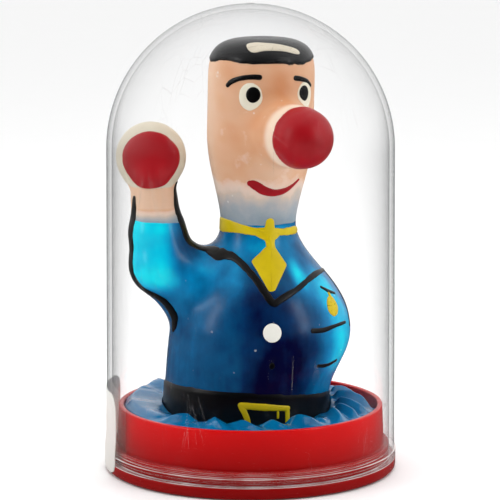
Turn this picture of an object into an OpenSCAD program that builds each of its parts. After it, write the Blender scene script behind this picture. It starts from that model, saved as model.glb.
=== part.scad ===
// A small dip-moulded rubber figure, standing in a red cup under a clear push-fit dome.
// Origin: centre of the cup's underside. +Z up. The figure's chest faces -Y.

/* [Dome] */
// Height of the dome's crown above the table
dome_top_z = 87.4; // [86.5:0.1:105]
// Radius of the bore in the dome's foot
dome_bore_r = 26.3; // [26.2:0.1:31.6]
// Wall thickness of the dome
dome_wall = 1; // [0.7:0.05:1.4]
// Draft angle of the dome's side
dome_draft = 0.4; // [0.2:0.05:0.5]
// Height of the thicker band round the dome's foot
band_h = 1.7; // [1:0.1:2.4]
// How far that band stands out from the wall
band_t = 0.22; // [0.1:0.02:0.4]
// Radius of the moulding gate's stub on the crown
gate_r = 0.9; // [0.5:0.1:1.5]
// Height of the gate's stub
gate_h = 0.12; // [0.1:0.02:0.3]

/* [Base cup] */
// Height of the cup's rim above the table
cup_h = 12.2; // [10.5:0.1:12.8]
// Thickness of the flange that the dome stands on
flange_h = 2.2; // [1.8:0.1:2.4]
// Thickness of the cup's wall
cup_wall = 0.95; // [0.8:0.05:1.2]
// Thickness of the cup's floor
floor_t = 1; // [0.8:0.1:1.2]
// How far the floor's underside is raised off the table
floor_lift = 1; // [0.8:0.1:1.2]
// Width of the foot ring under the flange
foot_w = 3.2; // [2.4:0.1:4]
// Height of the land that the dome's bore pushes over
land_h = 2.6; // [2:0.1:3]
// Radial clearance between the land and the dome's bore
land_fit = 0.05; // [0.02:0.01:0.1]
// Gap between the dome's bore and the cup's wall above the land
cup_gap = 1; // [0.9:0.05:1.2]
// Lean of the cup's wall towards its rim
rim_lean = 0.35; // [0.2:0.05:0.5]

/* [Sticker] */
// Width of the paper sticker round the dome
sticker_w = 22; // [12:1:30]
// Height of the sticker
sticker_h = 15; // [10:0.5:25]
// Height of the sticker's foot; below the flange's top it bridges the joint
sticker_foot_z = 0.6; // [0.4:0.1:6]
// Thickness of the sticker
sticker_t = 0.12; // [0.1:0.02:0.2]
// Corner radius of the sticker
sticker_corner = 2.4; // [1:0.2:4]
// Direction of the sticker's middle, turned from the chest
sticker_turn = -101; // [-170:1:-90]

/* [Figure] */
// Height of the crown of the head above the table
crown_z = 81; // [79.5:0.5:81.5]
// Radius of the head
head_r = 9.93; // [9:0.1:10.2]
// Height of the neck's narrowest place
neck_z = 46.6; // [46:0.2:47.2]
// Radius of the neck
neck_r = 7.05; // [6.7:0.05:7.3]
// Height of the belly's widest place
belly_z = 25; // [24:0.5:26]
// Radius of the belly
belly_r = 17.15; // [16.6:0.1:18]
// Radius of the hips, inside the cup
hip_r = 15.6; // [15:0.1:16.4]
// Thickness of the rubber skin
skin_t = 0.7; // [0.5:0.05:0.9]
// How far the head's axis stands off the base's axis
lean_x = 1.45; // [1:0.05:1.6]
// Turn of the face away from the chest
face_turn = 9.5; // [0:0.5:12]

/* [Arm] */
// Distance of the hand's centre from the base's axis
hand_x = 18.85; // [17.5:0.05:18.9]
// Height of the hand's centre
hand_z = 59.4; // [58.8:0.1:60]
// Radius of the flat hand
hand_r = 6.35; // [5.8:0.05:6.4]
// Thickness of the hand
hand_t = 5.2; // [4:0.1:6]
// Turn of the palm away from the chest
palm_turn = -10; // [-25:1:5]
// Radius of the wrist
wrist_r = 3.95; // [3.4:0.05:4.3]
// Radius of the sleeve
sleeve_r = 5.05; // [4.6:0.05:5.4]
// Radius of the elbow
elbow_r = 6.1; // [5.6:0.05:6.4]

/* [Nose] */
// Distance of the nose ball's centre from the head's axis
nose_reach = 18.5; // [17:0.1:18.8]
// Height of the nose ball's centre
nose_z = 64.1; // [63:0.1:65]
// Radius of the nose ball
nose_r = 5.25; // [4.6:0.05:5.4]
// Radius of the nose's root at the face
nose_root_r = 6.7; // [6:0.1:7.2]
// Turn of the nose away from the chest
nose_turn = 12.5; // [5:0.5:20]
// Height of the skin's ledge round the ball
nose_ledge = 0.4; // [0.1:0.05:0.5]
// How far that ledge stands behind the ball's centre
nose_hem = 2; // [1.5:0.1:3]

/* [Paint] */
// Thickness of one hand-painted film
film_t = 0.18; // [0.12:0.02:0.24]
// Half width of the heaviest black line
line_r = 0.62; // [0.5:0.02:0.7]

/* [Inside] */
// Outer radius of the card tube that keeps the figure upright
tube_r = 5.2; // [4.6:0.1:5.4]
// Wall thickness of the card tube
tube_wall = 0.6; // [0.4:0.05:0.8]
// Thickness of the card disc in the cup
card_t = 0.5; // [0.4:0.05:0.6]
// Clearance round the card disc and the loose skirt
loose_gap = 0.5; // [0.35:0.05:0.6]
// Radius of the rolled bead at the skin's open end
bead_r = 0.7; // [0.5:0.05:0.8]

/* [Hidden] */
$fn = 96;
eps = 0.01;

// dome
band_r = dome_bore_r + dome_wall + band_t;
bore_straight_h = land_h + 1.4;
dome_top_r = (dome_bore_r + dome_wall - (dome_top_z - flange_h) * tan(dome_draft))
  / (1 - tan(dome_draft));
dome_centre_z = dome_top_z - dome_top_r;

// cup
land_r = dome_bore_r - land_fit;
cup_r = dome_bore_r - cup_gap;
land_chamfer = 0.3;
foot_round = flange_h - 0.6;
floor_z = floor_lift + floor_t;
well_r = cup_r - cup_wall - rim_lean;

// inside the cup
card_z = floor_z + 0.05;
stand_z = card_z + card_t;
card_r = well_r - loose_gap;
skirt_r = well_r - loose_gap;
skirt_z = stand_z + 2 * bead_r;
bead_ring_r = skirt_r - bead_r - 0.4;

// figure
hip_z = 13;
hip_x = -0.8;
belly_x = 1.85;
crown_x = lean_x + 0.75;
full_z = neck_z + 17.4;
dome_head_z = crown_z - 9;
torso_depth = 0.94;
rings = 28;
sides = 38;

// profile of the trunk: eased steps between the named radii
function ease(t) = (1 - cos(180 * min(1, max(0, t)))) / 2;
function part_of(z, a, b) = min(1, max(0, (z - a) / (b - a)));
function lower_r(z) = hip_r + (belly_r - hip_r) * ease(pow(part_of(z, hip_z, belly_z), 1.15));
function chest_r(z) = belly_r - (belly_r - neck_r) * ease(pow(part_of(z, belly_z, neck_z), 1.25));
function jaw_r(z) = neck_r + (head_r - neck_r) * ease(pow(part_of(z, neck_z, full_z), 0.85));
function crown_r(z) = head_r * pow(1 - pow(part_of(z, dome_head_z, crown_z), 4), 0.3125);
function trunk_r(z) = z < belly_z ? lower_r(z) : z < neck_z ? chest_r(z) : z < full_z ? jaw_r(z) : crown_r(z);
function trunk_x(z) = z < belly_z + 2
  ? hip_x + (belly_x - hip_x) * ease(part_of(z, hip_z, belly_z + 2))
  : z < neck_z
    ? belly_x + (lean_x - belly_x) * ease(part_of(z, belly_z + 2, neck_z))
    : lean_x + (crown_x - lean_x) * part_of(z, neck_z, crown_z);
function trunk_depth(z) = torso_depth + (1 - torso_depth) * part_of(z, 30, neck_z);

// heights of the trunk's rings, closer together towards the crown
function ring_z(i) = i < rings - 8
  ? stand_z + (dome_head_z + 2 - stand_z) * i / (rings - 8)
  : crown_z - (crown_z - dome_head_z - 2) * pow(1 - (i - rings + 8) / 8, 2);
function ring_at(z, r, top_z) = [
  for (k = [0 : sides - 1])
    [trunk_x(z) + r * cos(360 * k / sides), r * trunk_depth(z) * sin(360 * k / sides), top_z]
];

// trunk grown outwards by g all over; it stays open-ended at the standing height
module trunk(g, drop = 0) {
  body = [
    for (i = [0 : rings - 1])
      ring_at(ring_z(i), trunk_r(ring_z(i)) + g, i == 0 ? stand_z - drop : ring_z(i) + g * ring_lift(i))
  ];
  points = concat([for (ring = body) each ring], [[crown_x, 0, crown_z + g]]);
  apex = rings * sides;
  faces = concat(
    [[for (k = [0 : sides - 1]) k]],
    [
      for (i = [0 : rings - 2], k = [0 : sides - 1])
        [i * sides + k, (i + 1) * sides + k, (i + 1) * sides + (k + 1) % sides, i * sides + (k + 1) % sides]
    ],
    [
      for (k = [0 : sides - 1])
        [(rings - 1) * sides + k, apex, (rings - 1) * sides + (k + 1) % sides]
    ]
  );
  polyhedron(points, faces, convexity = 6);
}
// share of the growth that lifts a ring: nothing on the sides, all of it on the crown
function ring_lift(i) = pow(part_of(ring_z(i), dome_head_z, crown_z), 3);

// arm: distance from the base's axis, height and radius of each swelling
arm = [
  [6, 33.5, 7.2],
  [hand_x - 7.2, 35.6, elbow_r + 0.6],
  [hand_x - 2.2, 39.4, elbow_r],
  [hand_x - 1.1, 45.5, sleeve_r],
  [hand_x - 0.6, 50.6, wrist_r],
  [hand_x, 55.5, wrist_r + 0.15]
];
ball_fn = 24;
module swelling(p, g) {
  translate([-p[0], 0, p[1]]) sphere(r = p[2] + g, $fn = ball_fn);
}
module arm_form(g) {
  for (i = [0 : len(arm) - 2])
    hull() {
      swelling(arm[i], g);
      swelling(arm[i + 1], g);
    }
  hand_form(g);
}
module at_hand() {
  translate([-hand_x, 0, hand_z]) rotate([0, 0, palm_turn]) rotate([90, 0, 0]) children();
}
module hand_form(g) {
  edge_r = hand_t / 2;
  at_hand() hull() {
    for (k = [0 : 11])
      rotate([0, 0, 30 * k])
        translate([hand_r - edge_r, 0, 0]) sphere(r = edge_r + g, $fn = 14);
    cylinder(h = hand_t + 0.8 + 2 * g, r = hand_r - edge_r - 0.4, center = true, $fn = 24);
  }
}

// nose: a cone out of the face with a ball on its end
module at_nose(reach) {
  translate([trunk_x(nose_z), 0, nose_z])
    rotate([0, 0, nose_turn]) rotate([90, 0, 0]) translate([0, 0, reach]) children();
}
module nose_form(g) {
  root_reach = head_r - 5.5;
  hull() {
    at_nose(root_reach) sphere(r = nose_root_r + g, $fn = ball_fn);
    at_nose(nose_reach - nose_hem) cylinder(h = 0.4, r = nose_r + nose_ledge + g, $fn = ball_fn);
  }
  hull() {
    at_nose(nose_reach - nose_hem) cylinder(h = 0.4, r = nose_r + nose_ledge + g, $fn = ball_fn);
    at_nose(nose_reach) sphere(r = nose_r + g, $fn = 28);
  }
}

module form(g, drop = 0) {
  union() {
    trunk(g, drop);
    arm_form(g);
    nose_form(g);
  }
}
// the whole skin, from its outside in to its cavity
module skin() {
  difference() {
    form(0);
    form(-skin_t, 1);
  }
}
// a film of paint that lies on the skin, counted outwards in layers
module film(layer = 0) {
  difference() {
    form(film_t * (layer + 1));
    form(film_t * layer, 0.5);
  }
}

// cutters: a spoke runs level out of the trunk's axis, turned from the chest
spoke_past = 2.5;
module spoke(s) {
  translate([trunk_x(s[1]), 0, s[1]])
    rotate([0, 0, s[0]]) rotate([90, 0, 0]) cylinder(h = trunk_r(s[1]) + spoke_past, r = s[2], $fn = 14);
}
// brush stroke through spokes of [turn, height, half width]
module stroke(list) {
  for (i = [0 : len(list) - 2])
    hull() {
      spoke(list[i]);
      spoke(list[i + 1]);
    }
}
module patch(list) {
  hull()
    for (s = list) spoke(s);
}
module dab(turn, z, r, tall = 0) {
  hull() {
    spoke([turn, z - tall, r]);
    spoke([turn, z + tall, r]);
  }
}
module painted(layer = 0) {
  intersection() {
    film(layer);
    children();
  }
}

// ---- dome and cup ----

module dome_body(r_foot, r_top, z_foot, z_centre) {
  translate([0, 0, z_foot]) cylinder(h = z_centre - z_foot, r1 = r_foot, r2 = r_top);
  translate([0, 0, z_centre]) sphere(r = r_top);
}
module clear_dome() {
  color([0.92, 0.95, 0.96, 0.3]) difference() {
    union() {
      dome_body(dome_bore_r + dome_wall, dome_top_r, flange_h, dome_centre_z);
      translate([0, 0, flange_h]) cylinder(h = band_h, r = band_r);
      translate([0, 0, dome_top_z - gate_h]) cylinder(h = 2 * gate_h, r = gate_r);
    }
    dome_body(
      dome_bore_r, dome_top_r - dome_wall,
      flange_h + bore_straight_h, dome_centre_z
    );
    translate([0, 0, flange_h - 1]) cylinder(h = bore_straight_h + 1 + eps, r = dome_bore_r);
  }
}

module price_sticker() {
  top_z = sticker_foot_z + sticker_h;
  knee_z = flange_h + band_h + 0.3;
  flat_z = knee_z + 3;
  slope = (dome_bore_r + dome_wall - dome_top_r) / (dome_centre_z - flange_h);
  low_r = band_r + 0.03;
  flat_r = dome_bore_r + dome_wall - slope * (flat_z - flange_h);
  high_r = dome_bore_r + dome_wall - slope * (top_z - flange_h);
  color([0.95, 0.94, 0.92]) intersection() {
    rotate([0, 0, sticker_turn]) rotate_extrude()
      polygon([
        [low_r, sticker_foot_z], [low_r + sticker_t, sticker_foot_z],
        [low_r + sticker_t, knee_z], [flat_r + sticker_t, flat_z], [high_r + sticker_t, top_z],
        [high_r, top_z], [flat_r, flat_z], [low_r, knee_z]
      ]);
    rotate([0, 0, sticker_turn]) rotate([90, 0, 0]) sticker_block(sticker_foot_z);
  }
}
// block with four round corners that trims the sticker, looking along it
module sticker_block(foot_z) {
  half_w = (dome_bore_r + dome_wall) * sin(sticker_w / 2 / (dome_bore_r + dome_wall) * 180 / PI);
  linear_extrude(2 * dome_bore_r)
    translate([0, foot_z + sticker_h / 2]) offset(r = sticker_corner, $fn = 32)
      square([2 * (half_w - sticker_corner), sticker_h - 2 * sticker_corner], center = true);
}

module base_cup() {
  outer = concat(
    [[0, floor_lift], [band_r - foot_w, floor_lift], [band_r - foot_w, 0]],
    [
      for (a = [-90 : 15 : 0])
        [band_r - foot_round + foot_round * cos(a), foot_round + foot_round * sin(a)]
    ],
    [
      [band_r, flange_h],
      [land_r, flange_h],
      [land_r, flange_h + land_h - land_chamfer],
      [land_r - land_chamfer, flange_h + land_h],
      [cup_r, flange_h + land_h]
    ],
    [
      for (a = [0 : 30 : 180])
        [
          cup_r - rim_lean - cup_wall / 2 + cup_wall / 2 * cos(a),
          cup_h - cup_wall / 2 + cup_wall / 2 * sin(a)
        ]
    ],
    [[well_r, floor_z], [0, floor_z]]
  );
  color([0.86, 0.05, 0.07]) rotate_extrude() polygon(outer);
}

module base_card() {
  color([0.88, 0.86, 0.8]) translate([0, 0, card_z]) cylinder(h = card_t, r = card_r);
}

module former_tube() {
  tube_h = crown_z - skin_t - 4 - stand_z;
  color([0.75, 0.68, 0.55]) translate([lean_x, 0, stand_z]) difference() {
    cylinder(h = tube_h, r = tube_r);
    translate([0, 0, -1]) cylinder(h = tube_h + 2, r = tube_r - tube_wall);
  }
}

// ---- rubber skin, cut where its colour changes ----

hand_cut_z = arm[4][1] + 0.4;
// everything of the arm above the sleeve's hem
module hand_zone() {
  translate([-hand_x - 9, -10, hand_cut_z]) cube([16, 20, 20]);
}
module head_zone() {
  translate([-12, -30, neck_z + 0.4]) cube([40, 60, 50]);
}
module head_skin() {
  color([0.93, 0.72, 0.55]) intersection() {
    skin();
    head_zone();
  }
}
module hand_skin() {
  color([0.95, 0.76, 0.6]) intersection() {
    skin();
    hand_zone();
  }
}
module jacket_skin() {
  color([0.05, 0.45, 0.75]) difference() {
    skin();
    hand_zone();
    head_zone();
  }
}

// loose end of the skin: a pleated ring that fills the cup round the hips
module skirt() {
  lobes = 11;
  crest_r = (hip_r + skirt_r) / 2;
  section = function(k)
    let (
      a = 360 * k / sides,
      wave = 0.5 * sin(lobes * a) + 0.35 * sin(4 * a + 50),
      inner = ring_at(stand_z, hip_r, skirt_z)[k]
    ) [
      inner,
      [inner.x, inner.y, cup_h - 2.6],
      [crest_r * cos(a) - 0.3, crest_r * sin(a), cup_h - 0.1 + wave],
      [skirt_r * cos(a), skirt_r * sin(a), cup_h - 1.2 + wave],
      [skirt_r * cos(a), skirt_r * sin(a), skirt_z]
    ];
  points = [for (k = [0 : sides - 1]) each section(k)];
  faces = [
    for (k = [0 : sides - 1], j = [0 : 4])
      [5 * k + j, 5 * k + (j + 1) % 5, 5 * ((k + 1) % sides) + (j + 1) % 5, 5 * ((k + 1) % sides) + j]
  ];
  color([0.03, 0.4, 0.72]) polyhedron(points, faces, convexity = 8);
}
module rim_bead() {
  color([0.1, 0.45, 0.75]) translate([0, 0, stand_z + bead_r])
    rotate_extrude() translate([bead_ring_r, 0]) circle(r = bead_r, $fn = 24);
}

// ---- paint on the head ----

black = [0.06, 0.06, 0.07];
module hair_cap() {
  hairline_z = crown_z - 3.9;
  color(black) painted() {
    translate([-20, -20, hairline_z]) cube([50, 40, 10]);
    stroke([[-60, hairline_z + 0.2, 0.4], [-28, hairline_z + 0.1, 0.5], [8, hairline_z, 0.5], [30, hairline_z, 0.4]]);
  }
}
module hair_patch() {
  z = crown_z - 1.5;
  color([0.86, 0.83, 0.74]) painted(1)
    stroke([[-27, z - 0.1, 0.5], [-8, z + 0.3, 0.62], [12, z + 0.1, 0.55], [26, z - 0.5, 0.4], [37, z - 1, 0.3]]);
}
eye_z = crown_z - 10.2;
eye_half = 32;
brow_z = eye_z + 3.8;
module left_brow() {
  a = face_turn;
  color(black) painted()
    stroke([
      [a - 58, brow_z - 1.6, 0.45], [a - 53, brow_z - 0.9, 0.45],
      [a - 46, brow_z - 0.3, 0.45], [a - 36, brow_z, 0.45], [a - 24, brow_z, 0.5]
    ]);
}
module right_brow() {
  a = face_turn;
  color(black) painted()
    stroke([
      [a + 17, brow_z - 0.4, 0.45], [a + 28, brow_z - 0.25, 0.42],
      [a + 37, brow_z - 0.75, 0.4], [a + 43.5, brow_z - 1.5, 0.38]
    ]);
}
module left_eye_white() {
  color([0.96, 0.94, 0.84]) painted() dab(face_turn - eye_half, eye_z, 2.25, 0.35);
}
module right_eye_white() {
  color([0.96, 0.94, 0.84]) painted() dab(face_turn + eye_half, eye_z, 2.25, 0.35);
}
module left_pupil() {
  color(black) painted(1) dab(face_turn - eye_half + 3, eye_z + 0.45, 1.36, 0.1);
}
module right_pupil() {
  color(black) painted(1) dab(face_turn + eye_half - 3, eye_z + 0.45, 1.36, 0.1);
}
module nose_coat() {
  color([0.72, 0.03, 0.1]) painted() at_nose(nose_reach - nose_hem + 0.6) cylinder(h = 12, r = 2 * nose_r);
}
module mouth() {
  a = face_turn;
  z = neck_z + 6;
  color([0.62, 0.03, 0.08]) painted()
    stroke([
      [a - 33, z + 2.2, 0.4], [a - 27, z + 1.8, 0.62], [a - 18, z + 0.75, 0.7],
      [a - 5, z + 0.05, 0.58], [a + 7, z + 0.05, 0.48], [a + 18, z + 0.65, 0.4], [a + 36, z + 2.5, 0.25]
    ]);
}

// ---- paint on the jacket ----

yellow = [0.93, 0.8, 0.08];
collar_z = neck_z - 0.95;
tie_turn = 3.5;
module collar() {
  color(yellow) painted() {
    difference() {
      stroke([
        [-95, collar_z, 0.8], [-80, collar_z - 0.1, 0.8], [-60, collar_z, 0.65], [-40, collar_z, 0.48],
        [-17, collar_z, 0.42], [tie_turn, collar_z - 0.05, 0.4], [32, collar_z - 0.35, 0.38],
        [66, collar_z - 0.55, 0.35], [80, collar_z - 0.6, 0.35]
      ]);
      tie_outline();
    }
  }
}
module tie_outline() {
  patch([[tie_turn, collar_z + 1.25, 0.55], [tie_turn, collar_z, 1.15]]);
  patch([[tie_turn, collar_z, 1.15], [tie_turn - 0.5, collar_z - 1.8, 0.72]]);
  patch([
    [tie_turn - 0.5, collar_z - 2.3, 0.62], [tie_turn - 21, collar_z - 5.3, 0.25],
    [tie_turn + 15.5, collar_z - 6, 0.25]
  ]);
  patch([
    [tie_turn - 21, collar_z - 5.3, 0.25], [tie_turn + 15.5, collar_z - 6, 0.25],
    [tie_turn - 4.8, collar_z - 10.2, 0.42]
  ]);
}
module tie() {
  color(yellow) painted() tie_outline();
}
module lapel_line() {
  vee_z = neck_z - 13.1;
  color(black) painted() difference() {
    stroke([
      [-66, vee_z + 8.6, 1.25], [-50, vee_z + 8.1, 0.95], [-34.7, vee_z + 6.9, line_r],
      [-14.1, vee_z + 4.45, line_r], [-6.5, vee_z + 1.4, line_r], [-0.9, vee_z, line_r],
      [5, vee_z + 0.3, line_r], [12.3, vee_z + 1.2, 0.56], [31.5, vee_z + 3.3, 0.46],
      [50, vee_z + 5.1, 0.36], [65, vee_z + 6, 0.3]
    ]);
    tie_outline();
  }
}
button_z = belly_z + 3.35;
module coat_button() {
  color([0.95, 0.95, 0.93]) painted() dab(-4.2, button_z, 1.75);
}
module coat_stud() {
  color(black) painted() dab(-1.9, button_z - 6.15, 0.5, 0.1);
}
module pocket_lines() {
  color(black) painted() difference() {
    union() {
      stroke([[25.5, button_z - 0.4, 0.48], [40, button_z - 0.15, 0.42], [62, button_z - 0.1, 0.3]]);
      stroke([[46, button_z + 6.5, 0.33], [53, button_z + 6, 0.36], [64, button_z + 5.5, 0.3]]);
      stroke([[78, button_z + 7.2, 0.25], [73, button_z + 3, 0.25], [66, button_z, 0.25]]);
      stroke([[35.5, button_z - 7.1, 0.35], [45, button_z - 7.2, 0.35], [53, button_z - 6.6, 0.3]]);
    }
    pendant_outline();
  }
}
module pendant_outline() {
  stroke([[48.9, button_z + 5.5, 0.3], [48, button_z + 4.4, 0.35]]);
  patch([[48, button_z + 4.4, 0.35], [44.5, button_z + 3, 0.9], [50.5, button_z + 3, 0.9], [47.5, button_z + 2.3, 0.8]]);
}
module pendant() {
  color(yellow) painted() pendant_outline();
}
belt_low_z = hip_z - 3.1;
module belt() {
  belt_top = hip_z + 2.5;
  color(black) painted() intersection() {
    translate([-30, -30, belt_low_z]) cube([60, 60, 12]);
    translate([0, 0, belt_top]) rotate([-4.3, 5, 0]) translate([-30, -30, -20]) cube([60, 60, 20]);
  }
}
module buckle() {
  z = hip_z + 1;
  color(yellow) painted(1) {
    stroke([[-15.2, z + 0.7, 0.62], [18.3, z - 0.2, 0.52]]);
    stroke([[-15.2, z + 0.7, 0.6], [-9.5, belt_low_z + 1.2, 0.42]]);
    stroke([[18.3, z - 0.2, 0.5], [18.5, belt_low_z + 1, 0.45]]);
    stroke([[-9.5, belt_low_z + 1.2, 0.42], [18.5, belt_low_z + 1, 0.42]]);
  }
}
module buckle_tongue() {
  color(yellow) painted(1) stroke([[11, hip_z + 0.15, 0.24], [11, hip_z - 0.7, 0.22]]);
}

// ---- paint on the arm ----

module coat_ball() {
  translate([-hand_x, 0, hand_z]) sphere(r = hand_r + 0.6, $fn = 36);
}
module hand_coat() {
  color([0.93, 0.9, 0.8]) painted() coat_ball();
}
module palm_disc() {
  color([0.72, 0.03, 0.1]) painted(1) at_hand() cylinder(h = hand_t, r = 5.4, $fn = 48);
}
// path of a line down the arm: side is -1 outside and 1 inside
function arm_side(i, side) = [
  -arm[i][0] + side * arm[i][2] * cos(28), -arm[i][2] * sin(28), arm[i][1]
];
module track(list, r) {
  for (i = [0 : len(list) - 2])
    hull() {
      translate(list[i]) sphere(r = r, $fn = 12);
      translate(list[i + 1]) sphere(r = r, $fn = 12);
    }
}
module sleeve_lines() {
  pit = [-15.2, -6.6, 29.4];
  fork = [-9.3, -3.4, 41.6];
  color(black) painted() difference() {
    union() {
      track([arm_side(4, -1), arm_side(3, -1), arm_side(2, -1), [-17.6, -4.2, 34], pit], 0.75);
      track([arm_side(4, 1) + [0, 0, 2.5], arm_side(4, 1), arm_side(3, 1), [-11.6, -3.2, 42.8], fork], 0.9);
    }
    coat_ball();
  }
}

clear_dome();
price_sticker();
base_cup();
base_card();
former_tube();
head_skin();
jacket_skin();
hand_skin();
skirt();
rim_bead();
hair_cap();
hair_patch();
left_brow();
right_brow();
left_eye_white();
right_eye_white();
left_pupil();
right_pupil();
nose_coat();
mouth();
collar();
tie();
lapel_line();
coat_button();
coat_stud();
pocket_lines();
pendant();
belt();
buckle();
buckle_tongue();
hand_coat();
palm_disc();
sleeve_lines();
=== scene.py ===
# A hand-painted rubber figure in a red cup, under a clear push-fit dome.
import math

import bmesh
import bpy
import numpy as np
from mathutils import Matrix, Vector


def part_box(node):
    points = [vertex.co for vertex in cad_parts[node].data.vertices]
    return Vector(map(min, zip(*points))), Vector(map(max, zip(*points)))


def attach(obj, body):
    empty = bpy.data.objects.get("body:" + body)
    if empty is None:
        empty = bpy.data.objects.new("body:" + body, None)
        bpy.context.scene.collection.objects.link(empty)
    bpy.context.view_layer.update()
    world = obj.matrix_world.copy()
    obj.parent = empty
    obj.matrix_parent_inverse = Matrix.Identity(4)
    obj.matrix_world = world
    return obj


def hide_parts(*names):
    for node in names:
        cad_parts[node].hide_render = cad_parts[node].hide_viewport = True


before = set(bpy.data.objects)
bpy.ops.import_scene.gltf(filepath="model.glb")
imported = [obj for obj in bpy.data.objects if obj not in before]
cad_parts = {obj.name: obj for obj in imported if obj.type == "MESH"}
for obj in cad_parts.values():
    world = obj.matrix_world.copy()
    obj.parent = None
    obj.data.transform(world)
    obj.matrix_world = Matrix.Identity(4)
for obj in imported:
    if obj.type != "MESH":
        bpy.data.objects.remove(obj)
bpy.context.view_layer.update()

MM = 0.001

# ---------------------------------------------------------------------------
# Camera, light and table. A long lens stands half a metre off, a little above
# the dome, turned so that the chest looks past its right side.
# ---------------------------------------------------------------------------


def ink(code):
    """Linear colour of an sRGB hex code such as "d01018"."""
    part = [int(code[i : i + 2], 16) / 255 for i in (0, 2, 4)]
    return tuple(c / 12.92 if c <= 0.04045 else ((c + 0.055) / 1.055) ** 2.4 for c in part) + (1.0,)


def add(tree, kind, links=None, **settings):
    """Adds one node, sets its properties and links or fills its inputs."""
    node = tree.nodes.new(kind)
    for key, value in settings.items():
        setattr(node, key, value)
    for socket, source in (links or {}).items():
        target = node.inputs[socket]
        if isinstance(source, bpy.types.NodeSocket):
            tree.links.new(source, target)
        else:
            target.default_value = source
    return node


def fill_ramp(ramp_node, stops):
    """Sets a colour ramp's stops from pairs of place and colour, in rising order."""
    band = ramp_node.color_ramp
    while len(band.elements) < len(stops):
        band.elements.new(0.5)
    for spot, (place, colour) in zip(band.elements, stops):
        spot.position = place
        spot.color = colour
    return ramp_node.outputs[0]


def new_material(name):
    """New material with an empty node tree."""
    mat = bpy.data.materials.new(name)
    mat.use_nodes = True
    mat.node_tree.nodes.clear()
    return mat, mat.node_tree


def give(tree, shader):
    """Ends a material in its shader."""
    add(tree, "ShaderNodeOutputMaterial", {"Surface": shader})


scene = bpy.context.scene
scene.view_settings.view_transform = "Standard"
cam_turn = math.radians(-12)
cam_far = 450 * MM
cam_height = 109.5 * MM
aim_height = 41.27 * MM
side_step = -0.11 * MM
sensor_w = 36.0
lens_reach = 4.702  # focal length in sensor widths
to_right = np.array([math.cos(cam_turn), math.sin(cam_turn), 0.0])
to_camera = np.array([math.sin(cam_turn), -math.cos(cam_turn), 0.0])
cam_flat = math.sqrt(cam_far**2 - cam_height**2)
cam_place = side_step * to_right + cam_flat * to_camera + np.array([0, 0, cam_height])
aim = side_step * to_right + np.array([0, 0, aim_height])
camera = bpy.data.objects.new("camera", bpy.data.cameras.new("camera"))
camera.data.sensor_width = sensor_w
camera.data.lens = sensor_w * lens_reach
camera.data.clip_start = 0.01
camera.location = cam_place
camera.rotation_euler = Vector(aim - cam_place).to_track_quat("-Z", "Y").to_euler()
scene.collection.objects.link(camera)
scene.camera = camera


def softbox(name, turn, height, far, width, tall, watts, mirrored=True):
    """Area light at a turn from the camera's side, aimed at the figure."""
    data = bpy.data.lights.new(name, "AREA")
    data.shape = "RECTANGLE"
    data.size = width
    data.size_y = tall
    data.energy = watts
    lamp = bpy.data.objects.new(name, data)
    a = cam_turn + math.radians(turn)
    place = Vector((far * math.sin(a), -far * math.cos(a), height))
    lamp.location = place
    lamp.rotation_euler = (Vector((0, 0, 0.04)) - place).to_track_quat("-Z", "Y").to_euler()
    lamp.visible_glossy = mirrored
    scene.collection.objects.link(lamp)


softbox("left_softbox", -62, 0.20, 0.42, 0.09, 0.30, 0.42)
softbox("right_softbox", 58, 0.20, 0.42, 0.09, 0.30, 0.42)
softbox("top_softbox", 20, 0.55, 0.05, 0.35, 0.35, 0.9, mirrored=False)

# White tent: bright at the sides and behind, darker where the camera looks in.
# It is dimmer for reflections, most of all below the horizon, and the table
# shows in no reflection, so that the dark paints stay dark.
world = bpy.data.worlds.new("white_tent")
world.use_nodes = True
world.node_tree.nodes.clear()
sky = world.node_tree
way = add(sky, "ShaderNodeTexCoord").outputs["Generated"]
to_front = add(sky, "ShaderNodeVectorMath", {0: way, 1: tuple(to_camera)}, operation="DOT_PRODUCT")
front = add(
    sky, "ShaderNodeMapRange", {"Value": to_front.outputs["Value"], "From Min": -1.0, "From Max": 1.0}
)
fall = fill_ramp(
    add(sky, "ShaderNodeValToRGB", {"Fac": front.outputs[0]}),
    [
        (at, (tone, tone, tone, 1))
        for at, tone in [(0.0, 1.0), (0.42, 1.0), (0.62, 0.8), (0.76, 0.35), (0.88, 0.08)]
    ],
)
seen = add(sky, "ShaderNodeLightPath")
far_white = add(sky, "ShaderNodeBackground", {"Color": ink("ffffff"), "Strength": 1.0})
level_of = add(sky, "ShaderNodeSeparateXYZ", {0: way})
from_floor = add(
    sky, "ShaderNodeMapRange",
    {"Value": level_of.outputs["Z"], "From Min": -0.12, "From Max": 0.1, "To Min": 0.12, "To Max": 0.75},
)
calmer = add(sky, "ShaderNodeMath", {0: from_floor.outputs[0], 1: 1.0}, operation="SUBTRACT")
on_gloss = add(
    sky, "ShaderNodeMath", {0: calmer.outputs[0], 1: seen.outputs["Is Glossy Ray"], 2: 1.0},
    operation="MULTIPLY_ADD",
)
power = add(sky, "ShaderNodeMath", {0: on_gloss.outputs[0], 1: 1.25}, operation="MULTIPLY")
tent = add(sky, "ShaderNodeBackground", {"Color": fall, "Strength": power.outputs[0]})
both = add(
    sky, "ShaderNodeMixShader",
    {0: seen.outputs["Is Camera Ray"], 1: tent.outputs[0], 2: far_white.outputs[0]},
)
add(sky, "ShaderNodeOutputWorld", {"Surface": both.outputs[0]})
scene.world = world

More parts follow.
